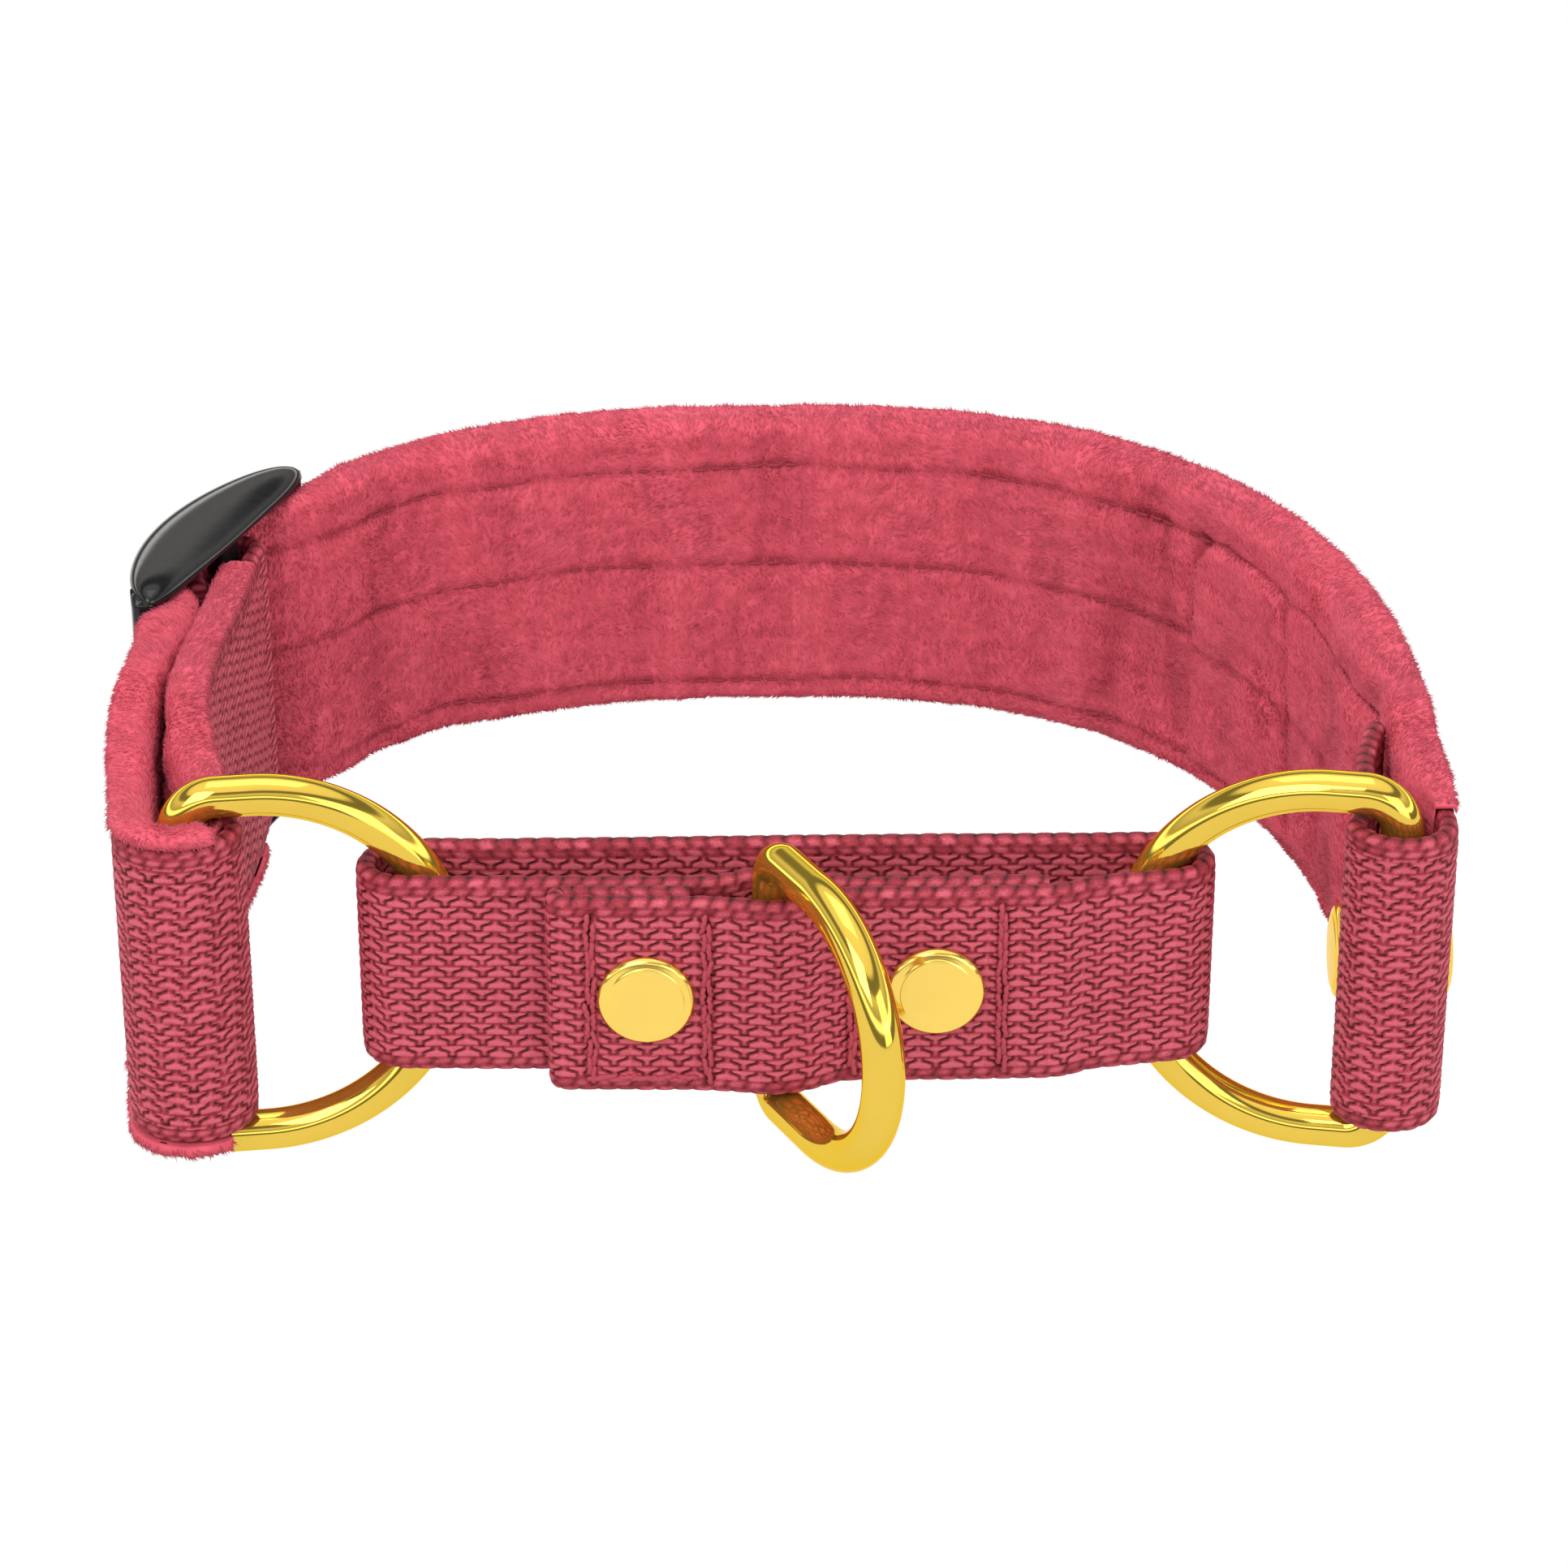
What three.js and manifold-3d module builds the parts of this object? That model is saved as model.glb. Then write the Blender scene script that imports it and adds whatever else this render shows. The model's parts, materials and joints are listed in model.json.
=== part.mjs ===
// A martingale dog collar: a plush-lined webbing band with a ring at each end, and a control loop of
// narrower webbing that runs through both rings and carries the leash ring.
// Millimetres, +Z up. X is the wearer's side to side, -Y is the throat side where the leash clips on.
// Every strap stands on edge, so it is drawn as a plan outline and extruded along Z.
import * as THREE from "three";
import { mergeVertices } from "three/addons/utils/BufferGeometryUtils.js";
import Module from "manifold-3d";

const wasm = await Module();
wasm.setup();

// ---- Driving dimensions -------------------------------------------------------------------------

const GAP = 0.3; // running gap between neighbouring solids
const SEAM_GAP = 0.15; // gap between layers that are sewn together

const WEBBING_WIDTH = 38; // main band webbing
const WEBBING_THICK = 2.2;
const LINING_THICK = 2.2; // plush cloth with its pile
const PADDING_THICK = 1.7;
const PADDING_WIDTH = 35;
const BAND_HEIGHT = 41.5; // over the plush that is rolled round both edges
const LOOP_LINING_HEIGHT = 34; // plush inside the ring loop, below the ring's bends
const PADDING_RAMP = 9; // length over which the padding tapers in
const PADDING_LEAD = 4; // the padding starts this far into its ramp

const CONTROL_WIDTH = 25; // control loop webbing
const CONTROL_THICK = 2.2;

const WIRE = 4.8; // ring wire diameter
const BIG_RING = { arcRadius: 21.9, barToArc: 8.3, bend: 4.5 };
const LEASH_RING = { arcRadius: 15.6, barToArc: 10.2, bend: 2.8 };

const RIVET_HEAD = 11; // rivet head diameter
const RIVET_THICK = 1.2;
const RIVET_POST = 3.2; // post diameter
const RIVET_HOLE = RIVET_POST + 2 * GAP;

const POST_WALL = 0.5; // wall of the hollow post
const POST_RECESS = 0.3; // how far the post's bore is sunk into its head

const STITCH_WIDTH = 1.3;
const STITCH_THICK = 0.45;
const STITCH_END = 0.5; // a stitch row stops this far short of its cloth's end
const STITCH_RISE = 0.1; // air under a stitch row

const JOIN = 0.2; // overlap of two shapes that are joined into one solid

// Places in plan, as [x, y].
const LEFT_BAR = [-68.4, -46.8]; // left ring's bar
const RIGHT_BAR = [69.8, -46];
const LEASH_BAR = [-1.2, -49.4];
const LEFT_RING_TURN = 7.7; // degrees that each ring points back from straight across
const RIGHT_RING_TURN = 9.3;
const LEASH_RING_TURN = -62; // the leash ring hangs forward and to one side
const LEASH_RING_LIFT = 0.5;

const SLIDER_CENTRE = [-41, 16]; // centre of the slider's curve
const SLIDER = { inner: 29.6, outer: 40, from: 125.5, to: 195, height: 47, slot: 42.2 };
const SLIDER_BARS = {
  rear: { angle: 128.5, inner: 37, outer: 40, halfWidth: 2 },
  centre: { angle: 159, inner: 30.9, outer: 33, halfWidth: 2.3 },
  front: { angle: 191, inner: 37, outer: 40, halfWidth: 2 },
};

// Materials.
const PINK_WEBBING = { color: 0xa8404f, roughness: 0.75, metalness: 0 };
const PINK_PLUSH = { color: 0xd85a6c, roughness: 1, metalness: 0 };
const PINK_THREAD = { color: 0xa03a4a, roughness: 0.6, metalness: 0 };
const WHITE_FOAM = { color: 0xe8e4dc, roughness: 0.9, metalness: 0 };
const GOLD = { color: 0xe8c040, roughness: 0.15, metalness: 1 };
const BLACK_PLASTIC = { color: 0x202020, roughness: 0.25, metalness: 0 };

// ---- Helpers ------------------------------------------------------------------------------------

const collar = new THREE.Group();

function place(name, geometry, look) {
  const mesh = new THREE.Mesh(geometry, new THREE.MeshStandardMaterial(look));
  mesh.name = name;
  collar.add(mesh);
  return mesh;
}

const radians = (degrees) => (degrees * Math.PI) / 180;
const vec = ([x, y]) => new THREE.Vector2(x, y);

function polar(radius, degrees, centre = SLIDER_CENTRE) {
  const a = radians(degrees);
  return [centre[0] + radius * Math.cos(a), centre[1] + radius * Math.sin(a)];
}

function toSolid(geometry) {
  const bare = geometry.clone();
  bare.deleteAttribute("normal");
  bare.deleteAttribute("uv");
  const merged = mergeVertices(bare, 1e-4);
  return new wasm.Manifold(
    new wasm.Mesh({
      numProp: 3,
      vertProperties: merged.attributes.position.array,
      triVerts: new Uint32Array(merged.index.array),
    }),
  );
}

function toGeometry(solid) {
  const mesh = solid.getMesh();
  const geometry = new THREE.BufferGeometry();
  geometry.setAttribute("position", new THREE.BufferAttribute(mesh.vertProperties, 3));
  geometry.setIndex(new THREE.BufferAttribute(mesh.triVerts, 1));
  geometry.computeVertexNormals();
  return geometry;
}

// A plan outline extruded from z0 to z1.
function slab(outline, z0, z1) {
  const shape = new THREE.Shape(outline);
  const geometry = new THREE.ExtrudeGeometry(shape, { depth: z1 - z0, bevelEnabled: false, steps: 1 });
  return geometry.translate(0, 0, z0);
}

// A plan path as samples: the point, the unit normal to its left, and the length run so far.
function samplePath(curves) {
  const points = [];
  for (const [curve, divisions] of curves) {
    for (let i = points.length ? 1 : 0; i <= divisions; i++) points.push(curve.getPoint(i / divisions));
  }
  let run = 0;
  return points.map((p, i) => {
    const before = points[Math.max(i - 1, 0)];
    const after = points[Math.min(i + 1, points.length - 1)];
    const along = after.clone().sub(before).normalize();
    if (i) run += p.distanceTo(before);
    return { p, n: new THREE.Vector2(-along.y, along.x), s: run };
  });
}

// The sample at a length along the path, between its neighbours.
function sampleAt(path, s) {
  const i = Math.max(1, path.findIndex((q) => q.s >= s));
  const [a, b] = [path[i - 1], path[i]];
  const t = (s - a.s) / (b.s - a.s);
  return { p: a.p.clone().lerp(b.p, t), n: a.n.clone().lerp(b.n, t).normalize(), s };
}

function lengthNear(path, point) {
  const target = vec(point);
  return path.reduce((best, q) => (q.p.distanceTo(target) < best.p.distanceTo(target) ? q : best)).s;
}

// A ribbon along a path from length s0 to s1, between two offsets to its left.
function ribbon(path, s0, s1, near, far, z0, z1) {
  const inside = path.filter((q) => q.s > s0 + 0.2 && q.s < s1 - 0.2);
  const run = [sampleAt(path, s0), ...inside, sampleAt(path, s1)];
  const at = (offset) => (q) => q.p.clone().addScaledVector(q.n, typeof offset === "function" ? offset(q.s) : offset);
  return slab([...run.map(at(near)), ...run.map(at(far)).reverse()], z0, z1);
}

const spline = (points) => new THREE.SplineCurve(points.map(vec));
const bezier = (a, b, c, d) => new THREE.CubicBezierCurve(vec(a), vec(b), vec(c), vec(d));
const arc = (centre, rx, ry, from, to) =>
  new THREE.EllipseCurve(centre[0], centre[1], rx, ry, radians(from), radians(to), to < from);

// ---- Plan path of the main webbing --------------------------------------------------------------
// The path is the webbing's outer face, from its tail at the right ring, round the neck, through the
// slider, round the left ring and back to the slider's centre bar. The plush is always on its left.

const RIGHT_TAIL_END = [68.6, -20.5];
const RIGHT_LOOP_RADII = [6.3, 6];
const RIGHT_LOOP_START = [RIGHT_BAR[0] - RIGHT_LOOP_RADII[0], RIGHT_BAR[1]];
const RIGHT_LOOP_END = [RIGHT_BAR[0] + RIGHT_LOOP_RADII[0], RIGHT_BAR[1]];
const RIGHT_CHEEK = [75.8, -20];
const BACK_TOP = [4, 72.3];
const LEFT_CORNER = [-52, 57.4];
const LEFT_LOOP_RADIUS = 7.4;
const LEFT_LOOP_START = [LEFT_BAR[0] - LEFT_LOOP_RADIUS, LEFT_BAR[1]];
const LEFT_LOOP_END = [LEFT_BAR[0] + LEFT_LOOP_RADIUS, LEFT_BAR[1]];
const WRAP_RADIUS = 3.85; // outer face of the webbing round the slider's centre bar
const WRAP_CENTRE_RADIUS = 31.95;
const WRAP_ANGLE = 154.5;
const WRAP_START = polar(WRAP_CENTRE_RADIUS - WRAP_RADIUS, WRAP_ANGLE);

const bandPath = samplePath([
  [spline([RIGHT_TAIL_END, [66.4, -29], [65.7, -36], [65.2, -41.5], RIGHT_LOOP_START]), 9],
  [arc(RIGHT_BAR, ...RIGHT_LOOP_RADII, 180, 360), 12],
  [spline([RIGHT_LOOP_END, [75.9, -38], [75.6, -29], RIGHT_CHEEK]), 6],
  [bezier(RIGHT_CHEEK, [75.9, 41], [49, 72.3], BACK_TOP), 26],
  [bezier(BACK_TOP, [-20, 72.3], [-38, 69.5], LEFT_CORNER), 14],
  [
    spline([
      LEFT_CORNER,
      [-57.9, 51.9],
      polar(36.15, 128.5),
      polar(39.5, 145),
      polar(40.8, 159),
      polar(39.5, 176),
      polar(36.15, 191),
      [-78.2, -3],
      [-78.9, -15],
      [-78.2, -28],
      [-76.9, -38],
      LEFT_LOOP_START,
    ]),
    44,
  ],
  [arc(LEFT_BAR, LEFT_LOOP_RADIUS, LEFT_LOOP_RADIUS, 180, 360), 12],
  [spline([LEFT_LOOP_END, [-64, -38], [-66.8, -28], [-68.8, -13], [-68.2, 2], [-67, 14], WRAP_START]), 22],
  [arc(polar(WRAP_CENTRE_RADIUS, WRAP_ANGLE), WRAP_RADIUS, WRAP_RADIUS, WRAP_ANGLE - 180, WRAP_ANGLE), 10],
  [spline([polar(35.8, 154.5), polar(35.7, 163), polar(34.6, 171), polar(33.1, 178)]), 6],
]);

// Where one body ends and the next begins: the band bends at its two back corners.
const RIGHT_FLEX = lengthNear(bandPath, [57, 49.8]);
const LEFT_FLEX = lengthNear(bandPath, LEFT_CORNER);
const PATH_END = bandPath[bandPath.length - 1].s;
const LINING_START = lengthNear(bandPath, [75.9, -38]) - 3.6;
const RIGHT_PADDING_START = lengthNear(bandPath, [75.6, -16]);
const LEFT_PADDING_END = LEFT_FLEX - 4;
const LEFT_LOOP_FROM = lengthNear(bandPath, [-76.6, -41]);
const LEFT_LOOP_TO = lengthNear(bandPath, [-63.5, -40]);
const LEFT_LINING_END = lengthNear(bandPath, [-67.2, 12.5]);

const smooth = (t) => THREE.MathUtils.smoothstep(t, 0, 1);

// How much the padding lifts the lining off the webbing.
function paddingAt(s) {
  const rise = smooth((s - RIGHT_PADDING_START) / PADDING_RAMP);
  const fall = smooth((LEFT_PADDING_END - s) / PADDING_RAMP);
  return (PADDING_THICK + SEAM_GAP) * rise * fall;
}

// ---- Band layers --------------------------------------------------------------------------------

const HALF_WEB = WEBBING_WIDTH / 2;
const HALF_BAND = BAND_HEIGHT / 2;
const LINING_FACE = WEBBING_THICK + SEAM_GAP; // lining's hidden face, where there is no padding

function webbing(s0, s1) {
  return ribbon(bandPath, s0, s1, 0, WEBBING_THICK, -HALF_WEB, HALF_WEB);
}

// Plush: a sheet on the neck side, with lips rolled over the webbing's two edges.
function lining(s0, s1) {
  const hidden = (s) => LINING_FACE + paddingAt(s);
  const face = (s) => hidden(s) + LINING_THICK;
  const overlap = (s) => hidden(s) + JOIN;
  let solid = toSolid(ribbon(bandPath, s0, s1, hidden, face, -HALF_BAND, HALF_BAND));
  for (const z of [HALF_WEB + SEAM_GAP, -HALF_BAND]) {
    const lip = ribbon(bandPath, s0, s1, 0, overlap, z, z + HALF_BAND - HALF_WEB - SEAM_GAP);
    solid = solid.add(toSolid(lip));
  }
  return solid;
}

function padding(s0, s1) {
  const near = WEBBING_THICK + SEAM_GAP;
  const far = (s) => near + Math.max(paddingAt(s) - SEAM_GAP, 0.3);
  return ribbon(bandPath, s0, s1, near, far, -PADDING_WIDTH / 2, PADDING_WIDTH / 2);
}

// A round rod along the X axis or the Y axis, used to cut rivet holes.
function rod(diameter, length, centre, axis, segments = 20) {
  const geometry = new THREE.CylinderGeometry(diameter / 2, diameter / 2, length, segments);
  if (axis === "x") geometry.rotateZ(-Math.PI / 2);
  return geometry.translate(...centre);
}

const END_RIVET = { x: 64.9, y: -37, z: -3, outer: 76.25 };
const END_HOLE_LENGTH = 40; // long enough to pierce both sides of the ring loop

const CUT = SEAM_GAP / 2; // each side of a body boundary
const endHole = toSolid(rod(RIVET_HOLE, END_HOLE_LENGTH, [RIGHT_BAR[0], END_RIVET.y, END_RIVET.z], "x"));
place("webbing_right", toGeometry(toSolid(webbing(0, RIGHT_FLEX - CUT)).subtract(endHole)), PINK_WEBBING);
place("webbing_back", webbing(RIGHT_FLEX + CUT, LEFT_FLEX - CUT), PINK_WEBBING);
place("webbing_left", webbing(LEFT_FLEX + CUT, PATH_END), PINK_WEBBING);

place("padding_right", padding(RIGHT_PADDING_START + PADDING_LEAD, RIGHT_FLEX - CUT), WHITE_FOAM);
place("padding_back", padding(RIGHT_FLEX + CUT, LEFT_PADDING_END - PADDING_LEAD), WHITE_FOAM);

place("lining_right", toGeometry(lining(LINING_START, RIGHT_FLEX - CUT).subtract(endHole)), PINK_PLUSH);
place("lining_back", toGeometry(lining(RIGHT_FLEX + CUT, LEFT_FLEX - CUT)), PINK_PLUSH);

// The left lining goes round the ring loop, where it has no lips and stays below the ring's bends.
const loopTube = ribbon(
  bandPath,
  LEFT_LOOP_FROM - JOIN,
  LEFT_LOOP_TO + JOIN,
  LINING_FACE,
  LINING_FACE + LINING_THICK,
  -LOOP_LINING_HEIGHT / 2,
  LOOP_LINING_HEIGHT / 2,
);
const leftLining = lining(LEFT_FLEX + CUT, LEFT_LOOP_FROM)
  .add(toSolid(loopTube))
  .add(lining(LEFT_LOOP_TO, LEFT_LINING_END));
place("lining_left", toGeometry(leftLining), PINK_PLUSH);

// A second piece of plush covers the neck side of the right cheek.
const PATCH_START = RIGHT_PADDING_START;
const PATCH_END = RIGHT_FLEX - 6;
const PATCH_THICK = 1.2;
const PATCH_BOTTOM = -16.6;
const PATCH_TOP = 13.4;
const patchNear = (s) => LINING_FACE + paddingAt(s) + LINING_THICK + SEAM_GAP;
const patchFar = (s) => patchNear(s) + PATCH_THICK;
place(
  "lining_end_patch",
  ribbon(bandPath, PATCH_START, PATCH_END, patchNear, patchFar, PATCH_BOTTOM, PATCH_TOP),
  PINK_PLUSH,
);

// Lengthwise stitching, seen on the neck side. Heights are measured from mid band.
const STITCH_ROWS = { top: 14.2, middle: 0, bottom: -17.4 };
const rowNear = (s) => LINING_FACE + paddingAt(s) + LINING_THICK + STITCH_RISE;
const rowFar = (s) => rowNear(s) + STITCH_THICK;

function stitchRow(s0, s1, z) {
  return ribbon(bandPath, s0, s1, rowNear, rowFar, z - STITCH_THICK, z + STITCH_THICK);
}

for (const [row, z] of Object.entries(STITCH_ROWS)) {
  place(`stitch_row_${row}_back`, stitchRow(RIGHT_FLEX + STITCH_END, LEFT_FLEX - STITCH_END, z), PINK_THREAD);
}

// ---- Slider -------------------------------------------------------------------------------------

function sector(inner, outer, from, to, divisions) {
  const outline = [];
  for (let i = 0; i <= divisions; i++) outline.push(vec(polar(outer, from + ((to - from) * i) / divisions)));
  for (let i = divisions; i >= 0; i--) outline.push(vec(polar(inner, from + ((to - from) * i) / divisions)));
  return outline;
}

const RAIL_TIP = 0.34; // width of a rail's tips, as a share of its full width
const RAIL_FULLNESS = 0.8; // below 1, the rail keeps its width for longer

// A rail seen in plan: a crescent that is narrower at its ends.
function railOutline() {
  const steps = 16;
  const outline = [];
  for (let i = 0; i <= steps; i++) {
    outline.push(vec(polar(SLIDER.outer, SLIDER.from + ((SLIDER.to - SLIDER.from) * i) / steps)));
  }
  for (let i = steps; i >= 0; i--) {
    const t = i / steps;
    const swell = RAIL_TIP + (1 - RAIL_TIP) * Math.sin(Math.PI * t) ** RAIL_FULLNESS;
    const width = (SLIDER.outer - SLIDER.inner) * swell;
    outline.push(vec(polar(SLIDER.outer - width, SLIDER.from + (SLIDER.to - SLIDER.from) * t)));
  }
  return outline;
}

const railTop = SLIDER.height / 2;
const slotTop = SLIDER.slot / 2;
let slider = toSolid(slab(railOutline(), slotTop, railTop)).add(toSolid(slab(railOutline(), -railTop, -slotTop)));
for (const bar of Object.values(SLIDER_BARS)) {
  const half = THREE.MathUtils.radToDeg(bar.halfWidth / ((bar.inner + bar.outer) / 2));
  const outline = sector(bar.inner, bar.outer, bar.angle - half, bar.angle + half, 4);
  slider = slider.add(toSolid(slab(outline, -slotTop - 1, slotTop + 1)));
}
place("tri_glide", toGeometry(slider), BLACK_PLASTIC);

// ---- Rings --------------------------------------------------------------------------------------

// The wire's centre line, as a closed path in the ring's own plane: x away from the bar, y up.
class RingCurve extends THREE.CurvePath {
  constructor({ arcRadius, barToArc, bend }) {
    super();
    const v = (x, y) => new THREE.Vector3(x, y, 0);
    const corner = arcRadius - bend;
    const line = (a, b) => this.add(new THREE.LineCurve3(a, b));
    const round = (cx, cy, r, from, to) => {
      const steps = Math.ceil(Math.abs(to - from) / 12);
      const at = (i) => {
        const a = radians(from + ((to - from) * i) / steps);
        return v(cx + r * Math.cos(a), cy + r * Math.sin(a));
      };
      for (let i = 0; i < steps; i++) line(at(i), at(i + 1));
    };
    round(barToArc, 0, arcRadius, -90, 90);
    line(v(barToArc, arcRadius), v(bend, arcRadius));
    round(bend, corner, bend, 90, 180);
    line(v(0, corner), v(0, -corner));
    round(bend, -corner, bend, 180, 270);
    line(v(bend, -arcRadius), v(barToArc, -arcRadius));
  }
}

// The ring as one closed tube. Each corner of the centre line carries one circle of points.
function ringGeometry(dims, sides = 12) {
  const corners = new RingCurve(dims).curves.map((c) => c.v1);
  const count = corners.length;
  const positions = [];
  for (let i = 0; i < count; i++) {
    const before = corners[(i + count - 1) % count];
    const after = corners[(i + 1) % count];
    const along = after.clone().sub(before).normalize();
    const out = new THREE.Vector3(along.y, -along.x, 0);
    for (let j = 0; j < sides; j++) {
      const a = (2 * Math.PI * j) / sides;
      const p = corners[i].clone().addScaledVector(out, (Math.cos(a) * WIRE) / 2);
      positions.push(p.x, p.y, (Math.sin(a) * WIRE) / 2);
    }
  }
  const index = [];
  for (let i = 0; i < count; i++) {
    for (let j = 0; j < sides; j++) {
      const [a, b] = [i * sides + j, i * sides + ((j + 1) % sides)];
      const [c, d] = [((i + 1) % count) * sides + j, ((i + 1) % count) * sides + ((j + 1) % sides)];
      index.push(a, c, b, b, c, d);
    }
  }
  const geometry = new THREE.BufferGeometry();
  geometry.setAttribute("position", new THREE.Float32BufferAttribute(positions, 3));
  geometry.setIndex(index);
  return geometry;
}

// Stands a ring on its bar, with its arc pointing along the given plan direction.
function placeRing(name, dims, bar, direction, lift = 0) {
  const geometry = ringGeometry(dims);
  geometry.rotateX(Math.PI / 2);
  geometry.rotateZ(radians(direction));
  geometry.translate(bar[0], bar[1], lift);
  geometry.computeVertexNormals();
  place(name, geometry, GOLD);
}

placeRing("left_d_ring", BIG_RING, LEFT_BAR, LEFT_RING_TURN);
placeRing("right_d_ring", BIG_RING, RIGHT_BAR, 180 - RIGHT_RING_TURN);
placeRing("leash_ring", LEASH_RING, LEASH_BAR, LEASH_RING_TURN, LEASH_RING_LIFT);

// ---- Control loop -------------------------------------------------------------------------------
// One length of webbing. The path is its centre line, from the folded end at the front, along the
// front to the right ring, back behind, round the left ring, and under its own start.

const TURN_RADIUS = 4.45; // centre line of the turn round a ring
const LEFT_TURN = [-43.25, -43.05];
const RIGHT_TURN = [43.75, -41.5];
const FOLD = [-24.6, -51.1];
const FOLD_RADIUS = 1.18;
const UNDER_END = [30, -47.2];

const controlPath = samplePath([
  [spline([[-10.6, FOLD[1] + FOLD_RADIUS], [FOLD[0], FOLD[1] + FOLD_RADIUS]]), 3],
  [arc(FOLD, FOLD_RADIUS, FOLD_RADIUS, 90, 270), 8],
  [
    spline([
      [FOLD[0], FOLD[1] - FOLD_RADIUS],
      [-18, -52.3],
      [-10, -52.35],
      [-5.5, -52.8],
      [-1.2, -53.4],
      [2.6, -52.4],
      [6.2, -50.5],
      [11, -50.15],
      [17.3, -50.05],
      [25, -49.8],
      [31.3, -49.4],
      [35.5, -47.6],
      [RIGHT_TURN[0], RIGHT_TURN[1] - TURN_RADIUS],
    ]),
    40,
  ],
  [arc(RIGHT_TURN, TURN_RADIUS, TURN_RADIUS, -90, 90), 10],
  [
    bezier(
      [RIGHT_TURN[0], RIGHT_TURN[1] + TURN_RADIUS],
      [15, -36.9],
      [-15, -38.3],
      [LEFT_TURN[0], LEFT_TURN[1] + TURN_RADIUS],
    ),
    10,
  ],
  [arc(LEFT_TURN, TURN_RADIUS, TURN_RADIUS, 90, 270), 10],
  [
    spline([
      [LEFT_TURN[0], LEFT_TURN[1] - TURN_RADIUS],
      [-36, -47.55],
      [-27, -47.6],
      [-18, -47.6],
      [-9.5, -47.55],
      [-6.5, -47],
      [-4, -45.85],
      [-1.2, -45.3],
      [1.6, -45.85],
      [4.6, -47.2],
      [9, -47.7],
      [20, -47.55],
      UNDER_END,
    ]),
    34,
  ],
]);

const HALF_CONTROL = CONTROL_WIDTH / 2;
const CONTROL_END = controlPath[controlPath.length - 1].s;
const FRONT_RIVETS = [
  { name: "left", x: -15.6, front: -53.55, rear: -46.35 },
  { name: "right", x: 17.3, front: -51.5, rear: -46.3 },
];
let strap = toSolid(
  ribbon(controlPath, 0, CONTROL_END, -CONTROL_THICK / 2, CONTROL_THICK / 2, -HALF_CONTROL, HALF_CONTROL),
);
for (const { x } of FRONT_RIVETS) {
  strap = strap.subtract(toSolid(rod(RIVET_HOLE, 7, [x, -50, 0], "y")));
}
place("control_strap", toGeometry(strap), PINK_WEBBING);

// ---- Rivets -------------------------------------------------------------------------------------
// A domed cap with a hollow post, and a second cap whose pin sits in the post.

function capProfile(height) {
  const r = RIVET_HEAD / 2;
  return [
    [0, height],
    [r - 1, height],
    [r - 0.3, height - 0.35],
    [r, height - 0.75],
    [r, 0],
  ];
}

const lathe = (profile) => new THREE.LatheGeometry(profile.map(vec), 24);

function rivetCap(postLength) {
  const post = RIVET_POST / 2;
  const bore = post - POST_WALL;
  return lathe(
    [
      ...capProfile(RIVET_THICK),
      [post, 0],
      [post, -postLength],
      [bore, -postLength],
      [bore, -POST_RECESS],
      [0, -POST_RECESS],
    ].reverse(),
  );
}

function rivetSocket(pinLength) {
  const pin = RIVET_POST / 2 - POST_WALL - GAP;
  return lathe([...capProfile(RIVET_THICK), [pin, 0], [pin, -pinLength], [0, -pinLength]].reverse());
}

const PIN_SHORTFALL = 1; // the pin ends this far short of the other head

// Turns a lathed head, which faces +Y, to face another way, and moves it.
function placeHead(name, geometry, turnZ, position) {
  place(name, geometry.rotateZ(turnZ).translate(...position), GOLD);
}

for (const { name, x, front, rear } of FRONT_RIVETS) {
  const span = rear - front;
  placeHead(`rivet_cap_front_${name}`, rivetCap(span - GAP), Math.PI, [x, front, 0]);
  placeHead(`rivet_socket_front_${name}`, rivetSocket(span - PIN_SHORTFALL), 0, [x, rear, 0]);
}
const endSpan = END_RIVET.outer - END_RIVET.x;
const endAt = (x) => [x, END_RIVET.y, END_RIVET.z];
placeHead("rivet_cap_end_inner", rivetCap(endSpan - GAP), Math.PI / 2, endAt(END_RIVET.x));
placeHead("rivet_socket_end_outer", rivetSocket(endSpan - PIN_SHORTFALL), -Math.PI / 2, endAt(END_RIVET.outer));

// ---- Stitching on the control loop --------------------------------------------------------------

const FRONT_STITCHES = [
  { name: "fold", x: -21.9, y: -53.55 },
  { name: "left_of_ring", x: -8.7, y: -53.75 },
  { name: "right_of_ring", x: 7.8, y: -51.7 },
  { name: "end", x: 24.8, y: -51.1 },
];
const STITCH_HEIGHT = 21;
for (const { name, x, y } of FRONT_STITCHES) {
  const thread = new THREE.BoxGeometry(STITCH_WIDTH, STITCH_THICK, STITCH_HEIGHT);
  place(`stitch_${name}`, thread.translate(x, y - STITCH_THICK / 2, 0), PINK_THREAD);
}

// The part's origin is the centre of its bounding box.
collar.updateMatrixWorld(true);
const centre = new THREE.Box3().setFromObject(collar, true).getCenter(new THREE.Vector3());
collar.position.copy(centre).negate();

export default collar;
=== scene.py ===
# Looks for the martingale collar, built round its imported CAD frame. Lengths are in millimetres until a
# mesh is made. X runs side to side, -Y is the leash side and Z is up the band's width.
import json
import math

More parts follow.
